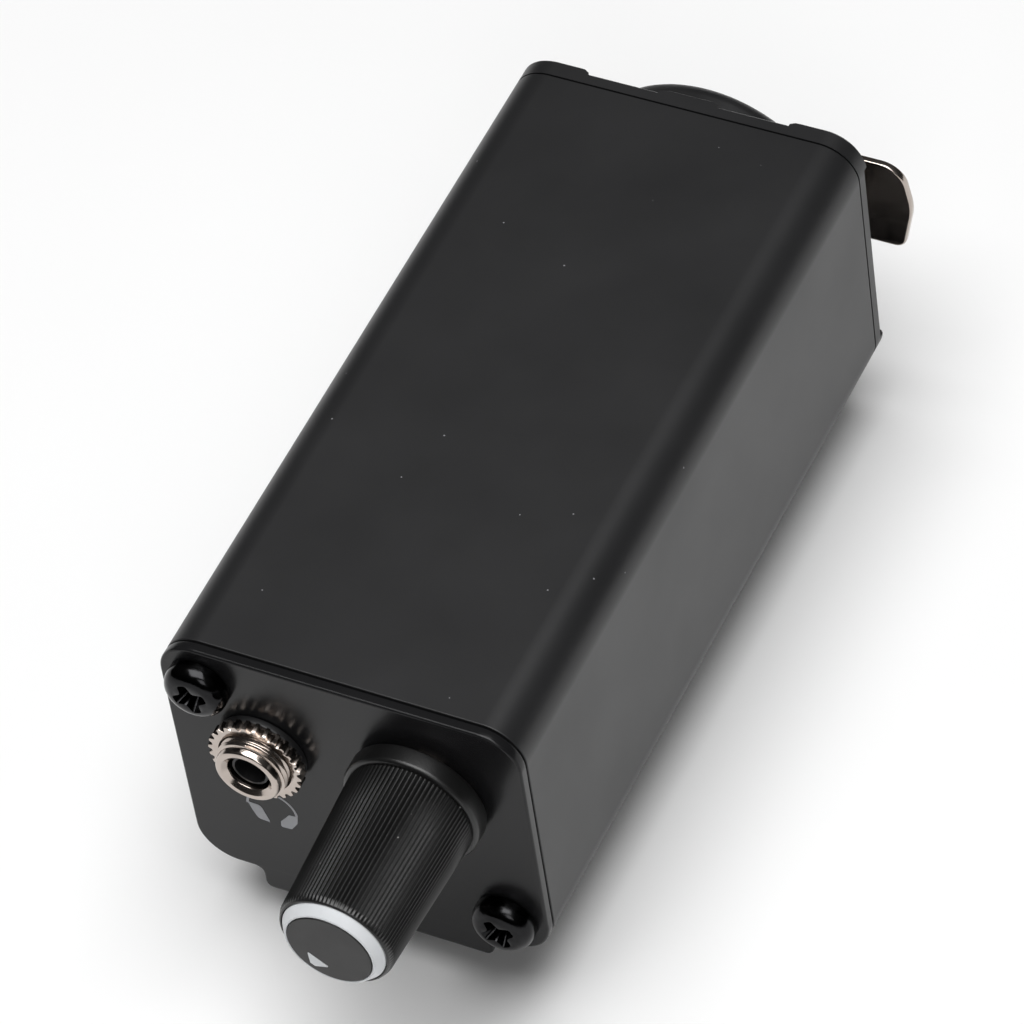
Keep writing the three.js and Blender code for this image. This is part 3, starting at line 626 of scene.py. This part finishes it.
# %% [markdown]
# ## The rear plate
# The rear plate is thicker and has raised pads in its corners, round its screws, and a small one
# at the middle of its top edge. The pads are joined on as blocks and trimmed to the case's
# outline with a cutter whose rim is chamfered, so that the rear edge catches the light as a line.

# %% The rear plate
REAR_FRONT, REAR_PADS = depth_of("rear_plate")
REAR = REAR_PADS - 0.65
PAD_INNER = 12.2
PAD_DEPTH = 4  # how far a corner pad reaches down or up from the plate's edge
MIDDLE_PAD = 2.9  # half the length of the small pad
RAMP = 0.55
CHAMFER = 0.33
socket = middle("socket_insert")


def pad(inner, outer, rise, bottom, top):
    """A raised pad whose ends at inner and outer slope down to the plate."""
    outline = [(inner - RAMP, REAR - 0.4), (inner - RAMP, REAR), (inner + RAMP, REAR + rise),
               (outer - RAMP, REAR + rise), (outer + RAMP, REAR), (outer + RAMP, REAR - 0.4)]
    return plate([outline], bottom, top, "z")


pads = []
for x, z in screw_places:
    ends = (PAD_INNER, SIDE + 3) if x > 0 else (-SIDE - 3, -PAD_INNER)
    levels = (TOP - PAD_DEPTH, TOP + 1) if z > TOP / 2 else (-1, PAD_DEPTH)
    boss = plate([circle(x, z, 3.7)], REAR - 0.3, REAR_PADS, "y")
    pads.append(joined(pad(*ends, REAR_PADS - REAR, *levels), boss))
pads.append(pad(-MIDDLE_PAD, MIDDLE_PAD, 0.45, TOP - 1.6, TOP + 1))
rear = joined(plate([case_outline], REAR_FRONT - 1, REAR, "y", edge=CHAMFER, steps=0), *pads)
trim = plate([case_outline], REAR_FRONT - 2, REAR_PADS, "y", edge=CHAMFER, steps=0)
rear = milled(rear, trim, operation="INTERSECT")
rear = milled(rear, block((-SIDE - 1, REAR_FRONT - 3, -1), (SIDE + 1, REAR_FRONT, TOP + 1)))
rear = milled(rear, plate([circle(socket.x, socket.z, 12.3, 72)], LENGTH - 1, REAR + 2, "y"))
for x, z in screw_places:
    sink = [(0, REAR_FRONT - 1), (2, REAR_FRONT - 1), (2, REAR_PADS - 1.75),
            (3.2, REAR_PADS - 0.3), (3.2, REAR_PADS + 1), (0, REAR_PADS + 1)]
    rear = milled(rear, turned(sink, "y", x=x, z=z, segments=48))
hand_over("rear_end_plate", rear, "case", "anodised_case", "rear_plate")

# %% [markdown]
# ## Screws
# The front screws are pan heads with a cross recess, standing proud of the plate; the rear ones
# are sunk. Each head is a turned profile, and its recess is a cross that narrows as it goes in,
# milled out of it. The tool's arms are a little rounded, as a worn punch leaves them.

# %% Cross recesses
def cross(size, arm):
    """The outline of a cross recess: size is its full width, arm the width of one arm."""
    far, near = size / 2, arm / 2
    end, root = arm * 0.22, (far - near) * 0.35  # radii at an arm's end and between two arms
    corners = []
    for quarter in range(4):
        turn = Matrix.Rotation(quarter * math.pi / 2, 2)
        for x, y, radius in ((far, -near * 0.7, end), (far, near * 0.7, end), (near, near, root)):
            point = turn @ Vector((x, y))
            corners.append((point.x, point.y, radius))
    return rounded(corners, steps=4)


def recess(size, arm, mouth, depth, facing, x=0.0, y=0.0, z=0.0, turn=0.0):
    """A tapering cross that starts just outside mouth and goes in by depth (negative is down)."""
    spin = Matrix.Rotation(math.radians(turn), 2)
    form = bmesh.new()
    rings = []
    for share, length, width in ((-0.2, 1.08, 1.05), (0, 1.0, 1.0), (1, 0.56, 0.8)):
        outline = [spin @ point for point in cross(size * length, arm * width)]
        rings.append([form.verts.new((p.x, p.y, mouth + depth * share)) for p in outline])
    for ring, other in zip(rings, rings[1:]):
        for step in range(len(ring)):
            beside = (step + 1) % len(ring)
            form.faces.new((ring[step], ring[beside], other[beside], other[step]))
    form.faces.new(rings[0])
    form.faces.new(rings[-1])
    mesh = bpy.data.meshes.new("recess")
    form.to_mesh(mesh)
    form.free()
    mesh.transform(Matrix.Translation((x, y, z)) @ FACING[facing])
    return cleaned(mesh)


# %% Pan heads in front, sunk heads behind
HEAD = 3.4
SHANK = 1.4
POINT = 0.9  # radius at the shank's end
RECESS_TURNS = (20, 30)  # how far each screw happened to be driven, in degrees
for number, at in enumerate(front_screws, start=1):
    crown, end = depth_of(f"front_screw_{number}")
    seat = FRONT - 0.05
    profile = rounded([(0, end, 0), (POINT, end, 0), (SHANK, end - 1, 0), (SHANK, seat, 0),
                       (HEAD, seat, 0.25), (HEAD, crown + 0.1, 1.5), (0, crown - 0.02, 0)], 12)
    head = turned(profile, "y", x=at.x, z=at.z, segments=72)
    head = milled(head, recess(3.9, 1.5, crown, 1.9, "y", x=at.x, z=at.z,
                               turn=RECESS_TURNS[number - 1]))
    head = broken_edges(head, 0.09, segments=2, angle=45)
    hand_over(f"pan_head_screw_{number}", head, "case", "black_screw", f"front_screw_{number}")

for number in range(1, 5):
    at = middle(f"rear_screw_{number}")
    end, crown = depth_of(f"rear_screw_{number}")
    profile = rounded([(0, end, 0), (POINT, end, 0), (SHANK, end + 1, 0), (SHANK, crown - 1.6, 0),
                       (2.8, crown - 0.3, 0.1), (2.8, crown, 0.15), (0, crown, 0)], 4)
    head = turned(profile, "y", x=at.x, z=at.z, segments=48)
    head = milled(head, recess(3.0, 0.9, crown, -1.4, "y", x=at.x, z=at.z))
    hand_over(f"sunk_screw_{number}", head, "case", "black_screw", f"rear_screw_{number}")

# %% [markdown]
# ## The headphone jack
# The jack's barrel is turned from brass: a threaded stem that ends in a smooth rounded lip with a
# bevelled mouth. A thread is a groove that climbs by one pitch each turn, so the radius depends
# on both the angle and the place along the stem. A black lining inside it guides the plug. The
# nut is knurled with coarse straight teeth and sits on a thin black washer, whose black is also painted
# shade for the dark gap under the nut.

# %% The jack's thread
PITCH = 0.7
THREAD_DEPTH = 0.3
JACK_TIP, JACK_BACK = depth_of("jack_barrel")
THREAD_END = JACK_TIP + 0.8
JACK_RADIUS = 3.9


def thread(angle, radius, place):
    """Cuts a rounded V groove into the stem where it is threaded."""
    if radius < JACK_RADIUS - CLOSE or place < THREAD_END:
        return radius
    turn = (place / PITCH + angle / (2 * math.pi)) % 1
    run_in = min(1, (place - THREAD_END) / (PITCH / 2))
    return radius - THREAD_DEPTH * run_in * (0.5 + 0.5 * math.cos(2 * math.pi * turn))


rings = round((JACK_BACK - THREAD_END) / (PITCH / 12))
stem = [(JACK_RADIUS, THREAD_END + (JACK_BACK - THREAD_END) * i / rings) for i in range(rings + 1)]
lip = rounded([(2.3, JACK_BACK, 0), (2.3, JACK_TIP + 0.45, 0.2), (2.85, JACK_TIP, 0.15),
               (3.5, JACK_TIP, 0.3), (3.62, THREAD_END - 0.1, 0.1)], 8)
barrel = turned(lip + stem, "y", x=jack.x, z=jack.z, segments=120, relief=thread)
hand_over("threaded_jack_barrel", barrel, "case", "nickel_plate", "jack_barrel")

LINING_START = JACK_TIP + 4
lining = rounded([(1.7, JACK_BACK, 0), (1.7, LINING_START, 0.2), (2.2, LINING_START, 0.1),
                  (2.2, JACK_BACK, 0)], 4)
hand_over("jack_plastic_lining", turned(lining, "y", x=jack.x, z=jack.z, segments=72), "case",
          "black_plastic")

# %% The knurled nut
TEETH = 28
nut_front, nut_back = depth_of("jack_nut")
nut_outline = []
for tooth in range(TEETH):
    for share, radius in ((0.0, 4.72), (0.12, 4.82), (0.3, 5.2), (0.62, 5.2), (0.8, 4.82)):
        angle = (tooth + share) / TEETH * 2 * math.pi
        nut_outline.append((jack.x + radius * math.cos(angle), jack.z + radius * math.sin(angle)))
nut_bore = circle(jack.x, jack.z, 4.05, 72)
nut_seat = nut_back - 0.8
nut = plate([nut_outline, nut_bore], nut_front, nut_seat, "y", edge=0.08, steps=1)
hand_over("knurled_jack_nut", nut, "case", "nickel_plate", "jack_nut", sharp=30)
# The washer is a thin real-looking ring, and its black also paints the shade of the gap between nut and
# plate.
washer = plate([circle(jack.x, jack.z, 4.9, 96), nut_bore], nut_seat, nut_back, "y", edge=0.15)
hand_over("jack_washer_painted_shade_gap", washer, "case", "black_plastic")

# %% [markdown]
# ## The headphone symbol
# A pictogram printed below the jack: a band and two ear cups. It is drawn as a very thin solid
# just off the plate, so that it stays crisp from any distance and exports as a real shape.

# %% The headphone symbol
INK_FACE = FRONT - 0.03
INK_BACK = FRONT - 0.006
arch = sweep((-10.2, 10.8), 2.8, math.radians(2), math.radians(178), 40)
shapes = [thickened(arch, 0.28)]
shapes.append(rounded([(-8.3, 10.8, 0.25), (-7.3, 10.9, 0.1), (-7.5, 9.7, 0.5), (-8.3, 8.5, 0.3),
                       (-9.55, 8.4, 0.25), (-9.45, 9.3, 0.4)], 6))
shapes.append(rounded([(-13.0, 11.1, 0.1), (-11.5, 11.0, 0.6), (-10.75, 8.6, 0.15),
                       (-12.1, 8.7, 0.6), (-12.6, 9.9, 0.3)], 6))
symbol = joined(*[plate([shape], INK_FACE, INK_BACK, "y") for shape in shapes])
hand_over("headphone_symbol", symbol, "case", "knob_white", material=INK)

# %% [markdown]
# ## The volume knob
# A moulded knob with a smooth collar, about ninety fine straight teeth down its side, a white
# band that tapers up from its end to a grey cap, and a pale pointer let into the cap. A bump
# would not hold up at the tip's chamfer, where the teeth are cut off one by one, so they are
# real: the barrel's radius dips ninety times a turn, and the chamfer takes the smaller of the two.

# %% The knob's barrel
KNOB_END, KNOB_BACK = depth_of("knob_body")
COLLAR = FRONT - 3.2
BARREL = 6.9  # radius next to the collar
TAPER = 0.75  # how much smaller the radius is at the tip
COLLAR_RADIUS = 7.45
POCKET = 6.15
TIP_BEVEL = 0.75
KNURLS = 90
KNURL_DEPTH = 0.12


def barrel_radius(place):
    """The knob narrows a little towards its tip."""
    return BARREL - TAPER * (COLLAR - place) / (COLLAR - KNOB_END)


def knurled(angle, radius, place):
    """Straight teeth from the collar to the tip; the pocket and the collar stay round."""
    if place > COLLAR - 0.05 or radius < 5.8:
        return radius
    dip = KNURL_DEPTH * (0.5 + 0.5 * math.cos(KNURLS * angle)) ** 0.7
    return min(radius, barrel_radius(place) - dip)


outside = rounded([(POCKET, KNOB_BACK, 0), (COLLAR_RADIUS, KNOB_BACK, 0.2),
                   (COLLAR_RADIUS, COLLAR, 0.5),
                   (barrel_radius(COLLAR) - 0.1, COLLAR, 0.12)], 8, closed=False)
tip = [Vector((barrel_radius(place), place)) for place in (COLLAR - 0.15, -9, -13, -17)]
tip += [Vector((barrel_radius(KNOB_END + TIP_BEVEL), KNOB_END + TIP_BEVEL))]
tip += rounded([(6.18, KNOB_END + 0.7, 0), (5.92, KNOB_END + 0.05, 0.25), (5.7, KNOB_END, 0.05),
                (5.7, KNOB_END + 1.3, 0)], 6, closed=False)
inside = [(0, KNOB_END + 1.3), (0, KNOB_END + 2.6), (3.2, KNOB_END + 2.6), (3.2, KNOB_BACK - 5.6),
          (POCKET, KNOB_BACK - 5.6)]
knob_mesh = turned(outside + tip + inside, "y", x=knob.x, z=knob.z, segments=KNURLS * 8,
                   relief=knurled)
hand_over("knurled_knob_barrel", knob_mesh, "knob", "knob_plastic", "knob_body", sharp=50)

# %% The white band, the cap and the pointer
CAP_FACE, CAP_BACK = depth_of("knob_cap")
band = rounded([(4.68, CAP_FACE + 0.08, 0.05), (4.9, CAP_FACE + 0.08, 0.2), (5.6, KNOB_END, 0.2),
                (5.6, CAP_BACK, 0), (4.68, CAP_BACK, 0)], 6)
disc = rounded([(0, CAP_FACE, 0), (4.6, CAP_FACE, 0.1), (4.6, CAP_BACK, 0), (0, CAP_BACK, 0)], 6)


def on_knob(profile):
    return turned(profile, "y", x=knob.x, z=knob.z, segments=120)


POINTER_ANGLE = math.radians(-124.5)
outwards = Vector((math.cos(POINTER_ANGLE), math.sin(POINTER_ANGLE)))
sideways = Vector((-outwards.y, outwards.x))


def pointer_outline(grow, radius):
    """A narrow triangle with a cut-off apex that points outwards."""
    corners = []
    for out, aside in ((2.6 - grow, -1.3 - grow), (2.6 - grow, 1.3 + grow), (3.9 + grow, 0.3 + grow),
                       (3.9 + grow, -0.3 - grow)):
        point = Vector((knob.x, knob.z)) + outwards * out + sideways * aside
        corners.append((point.x, point.y, radius))
    return rounded(corners, 4)


hand_over("knob_white_band", on_knob(band), "knob", "knob_white", "knob_ring")
pointer_near, pointer_far = depth_of("knob_pointer")
pocket = plate([pointer_outline(0.06, 0.1)], CAP_FACE - 1, pointer_far + 0.1, "y")
cap = milled(on_knob(disc), pocket)
hand_over("knob_grey_cap", cap, "knob", "knob_grey", "knob_cap")
pointer = plate([pointer_outline(0, 0.08)], pointer_near, pointer_far, "y", edge=0.03, steps=1)
hand_over("knob_pointer_inlay", pointer, "knob", "knob_white", "knob_pointer")

# %% [markdown]
# ## The XLR socket
# A moulded shell with a generously rounded collar, and a three-hole insert inside it with split
# contacts. The collar is cut away at three o'clock for the press latch. Turned profiles again,
# milled for the latch, the holes and the locating key.

# %% Shell, insert and contacts
shell_back, RIM = depth_of("socket_shell")
latch_pin = middle("latch_pin")
SHELL_RADIUS = (span("socket_shell")[1].z - span("socket_shell")[0].z) / 2
SHELL_BORE = 9.7
SHELL_NECK = 11.9
SHELL_SEAT = REAR + 0.1
profile = rounded([(SHELL_BORE, shell_back, 0), (SHELL_NECK, shell_back, 0.2),
                   (SHELL_NECK, SHELL_SEAT, 0), (SHELL_RADIUS, SHELL_SEAT, 0.1),
                   (SHELL_RADIUS, RIM, 2.2), (SHELL_BORE, RIM, 0.5)], 12)
shell = turned(profile, "y", x=socket.x, z=socket.z, segments=144)
slot = block((9, REAR + 1, socket.z - 5.5), (15, RIM + 1, socket.z + 5.5))
pin_bore = plate([circle(latch_pin.x, latch_pin.y, 0.9, 32)], socket.z - 7.2, socket.z + 7.2, "z")
shell = broken_edges(milled(shell, slot, pin_bore), 0.15, segments=2)
hand_over("xlr_socket_shell", shell, "case", "black_plastic", "socket_shell")

insert_back, insert_face = depth_of("socket_insert")
FLANGE = 64  # where the insert's wider back ends
HOLE_END = 60
profile = rounded([(0, insert_back, 0), (9.3, insert_back, 0), (9.3, FLANGE, 0), (7.9, FLANGE, 0),
                   (7.9, insert_face, 0.5), (0, insert_face, 0)], 6)
insert = turned(profile, "y", x=socket.x, z=socket.z, segments=96)
contacts = [middle(f"socket_contact_{number}") for number in (1, 2, 3)]
hole = [(0, HOLE_END), (1.85, HOLE_END), (1.85, insert_face - 0.3), (2.2, insert_face + 0.1),
        (2.2, insert_face + 1), (0, insert_face + 1)]
holes = [turned(hole, "y", x=at.x, z=at.z, segments=48) for at in contacts]
key = block((-1, insert_face - 8, socket.z + 6.4), (1, insert_face + 1, socket.z + 9))
hand_over("xlr_insert", milled(insert, key, *holes), "case", "black_plastic", "socket_insert")

for number, at in enumerate(contacts, start=1):
    tail, mouth = depth_of(f"socket_contact_{number}")
    step = HOLE_END + 1.6
    profile = rounded([(0, tail, 0), (0.7, tail, 0.2), (0.7, step, 0), (1.5, step, 0.1),
                       (1.5, mouth, 0.12), (1.15, mouth, 0.12), (1.15, mouth - 12, 0),
                       (0, mouth - 12, 0)], 4)
    contact = turned(profile, "y", x=at.x, z=at.z, segments=40)
    split = block((at.x - 0.2, mouth - 7, at.z - 2), (at.x + 0.2, mouth + 1, at.z + 2))
    hand_over(f"xlr_contact_{number}", milled(contact, split), "case", "contact_brass",
              f"socket_contact_{number}")

# %% [markdown]
# ## The press latch
# A stamped and plated tab that the thumb pushes: bowed at its outer end, with a leg that turns on
# a pin in the socket's collar and a nose that catches the plug. It is stamped from strip, so its
# outline is drawn out to the strip's thickness with a soft edge all round, and the leg joined on.

# %% The latch, its pin and its spring
latch_low, latch_high = span("latch_tab")
half = latch_high.z - socket.z
reach = latch_high.x
TAB_THICKNESS = 0.9
LEG_INNER = 10.6
LEG_OUTER = 11.6
LEG_TOP = socket.z + 1.2
EYE = 1.2  # half the width of the eye that the pin goes through
tab_outline = rounded([
    (LEG_INNER, socket.z - half, 0.3), (reach - 1.35, socket.z - half, 1.5),
    (reach, socket.z + 0.2, 8), (reach - 0.9, socket.z + half, 3),
    (LEG_INNER, socket.z + half, 0.3)], 12)
tab = plate([tab_outline], latch_high.y - TAB_THICKNESS, latch_high.y, "y", edge=0.25, steps=3)
leg_start = latch_high.y - 0.3
eye_near, eye_far = latch_pin.y - EYE, latch_pin.y + EYE
leg = rounded([(LEG_INNER, leg_start, 0), (LEG_INNER, eye_near, 0), (latch_pin.x, eye_near, 0.1),
               (latch_pin.x + EYE, eye_near, 1.1), (latch_pin.x + EYE, eye_far, 1.1),
               (LEG_OUTER, eye_far, 0.1), (LEG_OUTER, leg_start, 0)], 8)
leg = plate([leg], socket.z - 5, LEG_TOP, "z")
nose = block((latch_low.x, latch_high.y - 1.9, socket.z - 2), (11, latch_high.y - 0.5, LEG_TOP))
hinge_bore = plate([circle(latch_pin.x, latch_pin.y, 0.8, 32)], socket.z - 8, socket.z + 8, "z")
latch = milled(joined(tab, leg, nose), hinge_bore)
hand_over("press_latch_tab", latch, "latch", "nickel_plate", "latch_tab", sharp=32)


def pin(node, facing):
    """A short steel pin with domed ends that fills a CAD node's box."""
    low, high = span(node)
    at = (low + high) / 2
    axis = "xyz".index(facing)
    radius = min(high[i] - low[i] for i in range(3)) / 2
    profile = rounded([(0, low[axis], 0), (radius, low[axis], radius * 0.5),
                       (radius, high[axis], radius * 0.5), (0, high[axis], 0)], 5)
    at[axis] = 0
    return turned(profile, facing, x=at.x, y=at.y, z=at.z, segments=32)


def coil(node, facing, turns, wire):
    """A wound spring that fills a CAD node's box: turns of round wire with closed ends."""
    low, high = span(node)
    at = (low + high) / 2
    axis = "xyz".index(facing)
    rise = high[axis] - low[axis] - 2 * wire
    radius = max(high[i] - low[i] for i in range(3) if i != axis) / 2 - wire
    drawing = bpy.data.curves.new("coil", "CURVE")
    drawing.dimensions = "3D"
    drawing.bevel_depth = wire
    drawing.bevel_resolution = 3
    drawing.use_fill_caps = True
    steps = round(turns * 24)
    spline = drawing.splines.new("POLY")
    spline.points.add(steps)
    for step, point in enumerate(spline.points):
        angle = 2 * math.pi * step / 24
        point.co = (radius * math.cos(angle), radius * math.sin(angle), rise * (step / steps - 0.5), 1)
    mesh = evaluated(bpy.data.objects.new("coil", drawing))
    mesh.transform(Matrix.Translation(at) @ FACING[facing])
    return cleaned(mesh)


hand_over("latch_hinge_pin", pin("latch_pin", "z"), "case", "spring_steel", "latch_pin")
hand_over("latch_coil_spring", coil("latch_spring", "z", 3, 0.2), "case", "spring_steel", "latch_spring")

# %% [markdown]
# ## The battery door
# A shallow moulded cover that slides rearwards to come off. It has four grip grooves near its
# front end, and hooks inside that hold it to the sleeve. Its section is drawn out to its length,
# hollowed from inside, and the grooves are milled with round-ended cutters.

# %% The battery door
door_section = rounded([(door_low.x, -0.2, 0), (door_low.x, door_low.z, 0.9),
                        (door_high.x, door_low.z, 0.9), (door_high.x, -0.2, 0)], 10)
door = plate([door_section], door_low.y, door_high.y, "y", edge=0.18, steps=2)
DOOR_WALL = 1.4
GROOVE_PITCH = 1.5
hollow = block((-11.6, door_low.y + DOOR_WALL, -1.5), (11.6, door_high.y - DOOR_WALL, 1))
grooves = []
for index in range(4):
    start = 2.2 + GROOVE_PITCH * index
    grooves.append(plate([rectangle(-6, 6, start, start + 0.6, 0.29)], door_low.z - 1,
                         door_low.z + 0.4, "z"))
door = milled(door, hollow, *grooves)
HOOK_SIDE = 10.1
HOOK_TOP = WALL + 0.9
for y in HOOK_STARTS:
    for side in (-1, 1):
        inner, outer = sorted((side * HOOK_SIDE, side * 10.9))
        lip_inner, lip_outer = sorted((side * HOOK_SIDE, side * 12))
        hook = joined(block((inner, y, -1.8), (outer, y + HOOK_LENGTH, HOOK_TOP)),
                      block((lip_inner, y, WALL + 0.25), (lip_outer, y + HOOK_LENGTH, HOOK_TOP)))
        door = joined(door, hook)
hand_over("sliding_battery_door", door, "door", "black_plastic", "battery_door")

# %% [markdown]
# ## The belt clip
# A steel bracket is screwed under the case and a sprung arm turns on a pin between its ears. Both
# are bent from strip, so each starts as a bent centre line thickened to the strip: the bracket's
# is a channel seen from the end, the arm's is seen from the side, with the dip that grips a belt.

# %% The clip's arm
arm_low, arm_high = span("clip_arm")
STRIP = 1.0
clip_pin = middle("clip_pin")
centre_z = arm_low.z + STRIP / 2
bend = rounded([(arm_high.y, centre_z, 0), (16, centre_z, 1.8), (11.8, -3.15, 1.5),
                (8.0, -6.1, 0)], 12, closed=False)
arm = plate([thickened(bend, STRIP)], arm_low.x, arm_high.x, "x", edge=0.16, steps=2)
plan = plate([rectangle(arm_low.x, arm_high.x, 7.4, arm_high.y + 0.1, 2.5)], arm_low.z - 1, 0, "z")
arm = milled(arm, plan, operation="INTERSECT")
KNUCKLE = 1.9
near, far, crest = clip_pin.y - KNUCKLE, clip_pin.y + KNUCKLE, clip_pin.z + KNUCKLE
knuckle = rounded([(near, centre_z, 0), (near, crest, KNUCKLE - 0.01),
                   (far, crest, KNUCKLE - 0.01), (far, centre_z, 0)], 12)
for low, high in ((arm_low.x, -3.6), (3.6, arm_high.x)):
    arm = joined(arm, plate([knuckle], low + 0.02, high - 0.02, "x", edge=0.15, steps=2))
arm = milled(arm, plate([circle(clip_pin.y, clip_pin.z, 1.2, 32)], -12, 12, "x"))
hand_over("clip_spring_arm", arm, "clip", "spring_steel", "clip_arm")

# %% The clip's bracket, pin, spring and screws
bracket_low, bracket_high = span("clip_bracket")
ear = bracket_high.x - STRIP / 2
channel = rounded([(-ear, bracket_low.z, 0), (-ear, bracket_high.z - STRIP / 2, 0.9),
                   (ear, bracket_high.z - STRIP / 2, 0.9), (ear, bracket_low.z, 0)], 8, closed=False)
bracket = plate([thickened(channel, STRIP)], bracket_low.y, bracket_high.y, "y")
from_side = rounded([
    (bracket_low.y, 1, 0), (bracket_low.y, -4.6, 1.4), (68.0, bracket_low.z, 1.8),
    (72.0, bracket_low.z, 1.8), (73.4, -4.2, 1.2), (75, -STRIP - 0.1, 0.9),
    (bracket_high.y, -STRIP - 0.1, 0), (bracket_high.y, 1, 0)], 8)
bracket = milled(bracket, plate([from_side], -12, 12, "x"), operation="INTERSECT")
bracket = milled(bracket, plate([circle(clip_pin.y, clip_pin.z, 1.15, 32)], -12, 12, "x"),
                 *[plate([circle(at.x, at.y, 1.6, 32)], -3, 1, "z") for at in clip_screws])
bracket = broken_edges(bracket, 0.12, segments=2)
hand_over("clip_mounting_bracket", bracket, "case", "spring_steel", "clip_bracket")
hand_over("clip_hinge_pin", pin("clip_pin", "x"), "case", "spring_steel", "clip_pin")
hand_over("clip_coil_spring", coil("clip_spring", "x", 4, 0.35), "case", "spring_steel", "clip_spring")

for number, at in enumerate(clip_screws, start=1):
    low, high = span(f"clip_screw_{number}")
    profile = rounded([(0, high.z, 0), (0.8, high.z, 0), (1.25, high.z - 0.6, 0), (1.25, -1.15, 0),
                       (2.4, -1.15, 0.1), (2.4, low.z, 0.7), (0, low.z, 0)], 8)
    head = turned(profile, "z", x=at.x, y=at.y, segments=48)
    head = milled(head, recess(3.0, 0.8, low.z, 0.9, "z", x=at.x, y=at.y))
    hand_over(f"clip_pan_screw_{number}", head, "case", "black_screw", f"clip_screw_{number}")

# %% [markdown]
# ## The studio
# A pale paper floor, a large softbox almost straight above, a small weak one at the front and a
# little to the right, and a dim grey room. A black satin object is drawn by what it reflects: the
# top mirrors the dim room behind it, the side facing right mirrors the bright floor at a low
# angle and turns grey, and the front plate lies between. The room is darker near its horizon, and
# the top's rounded edge mirrors that part. The powers of the lights were set. The powers of the lights
# were set by eye.

# %% Floor and light
low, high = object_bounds()
FLOOR_HALF = 2.5
floor_mesh = bpy.data.meshes.new("paper_floor")
edge_points = [(-FLOOR_HALF, -FLOOR_HALF), (FLOOR_HALF, -FLOOR_HALF), (FLOOR_HALF, FLOOR_HALF),
               (-FLOOR_HALF, FLOOR_HALF)]
floor_mesh.from_pydata([(x, y, low.z) for x, y in edge_points], [], [(0, 1, 2, 3)])
floor = bpy.data.objects.new("paper_floor", floor_mesh)
bpy.context.scene.collection.objects.link(floor)
floor_mesh.materials.append(finish("matt_white_paper", ("#f2f2f2", "#f6f6f6"), (0.8, 0.9),
                                   grain=0.6, height=0.01, cloud=60))


def softbox(name, bearing, height_angle, distance, size, power, aim):
    """An area light at a bearing (0 is the front, 90 the right) and a height angle, in degrees."""
    light = bpy.data.lights.new(name, "AREA")
    light.size = size
    light.energy = power
    lamp = bpy.data.objects.new(name, light)
    side, up = math.radians(bearing), math.radians(height_angle)
    towards = Vector((math.sin(side) * math.cos(up), -math.cos(side) * math.cos(up), math.sin(up)))
    lamp.location = aim + towards * distance
    lamp.rotation_euler = towards.to_track_quat("Z", "Y").to_euler()
    bpy.context.scene.collection.objects.link(lamp)


centre = (low + high) / 2
softbox("overhead_softbox", bearing=20, height_angle=84, distance=1.2, size=1.0, power=18.0, aim=centre)
softbox("front_softbox", bearing=30, height_angle=40, distance=1.0, size=0.35, power=1.2, aim=centre)

world = bpy.data.worlds.new("dim_room")
world.use_nodes = True
bpy.context.scene.world = world
tree = world.node_tree
direction = add(tree, "TexCoord").outputs["Generated"]
height = add(tree, "SeparateXYZ", {"Vector": direction})
room = add(tree, "MapRange", {"Value": height.outputs["Z"], "From Min": 0.3, "From Max": 0.75,
                              "To Min": 0.02, "To Max": 0.06})
tree.links.new(room.outputs["Result"], tree.nodes["Background"].inputs["Strength"])
tree.nodes["Background"].inputs["Color"].default_value = linear("#ffffff")
bpy.context.scene.view_settings.view_transform = "Standard"

# %% [markdown]
# ## The camera
# A long lens from well above the front right corner, tilted a little so that the case runs up
# the picture. Its place follows from the point it looks at, two angles, a distance and the tilt.

# %% The camera
AIM = DATUM + Vector((-1.222, 38.633, 16.8)) * MM
BEARING = math.radians(32.118)
ELEVATION = math.radians(48.553)
TILT = math.radians(9.433)
DISTANCE = 680.156 * MM
back = Vector((math.sin(BEARING) * math.cos(ELEVATION), -math.cos(BEARING) * math.cos(ELEVATION),
               math.sin(ELEVATION)))
level = Vector((math.cos(BEARING), math.sin(BEARING), 0))
upright = back.cross(level)
right = level * math.cos(TILT) - upright * math.sin(TILT)
up = back.cross(right)
lens = bpy.data.cameras.new("long_lens")
lens.lens = 230.896
lens.clip_end = 20
camera = bpy.data.objects.new("camera", lens)
pointing = Matrix((right, up, back)).transposed().to_4x4()
camera.matrix_world = Matrix.Translation(AIM + back * DISTANCE) @ pointing
bpy.context.scene.collection.objects.link(camera)
bpy.context.scene.camera = camera

# %% [markdown]
# ## Done
# The view layer is brought up to date. The visual model must fill the same box as the CAD
# model.

# %% Finish
bpy.context.view_layer.update()
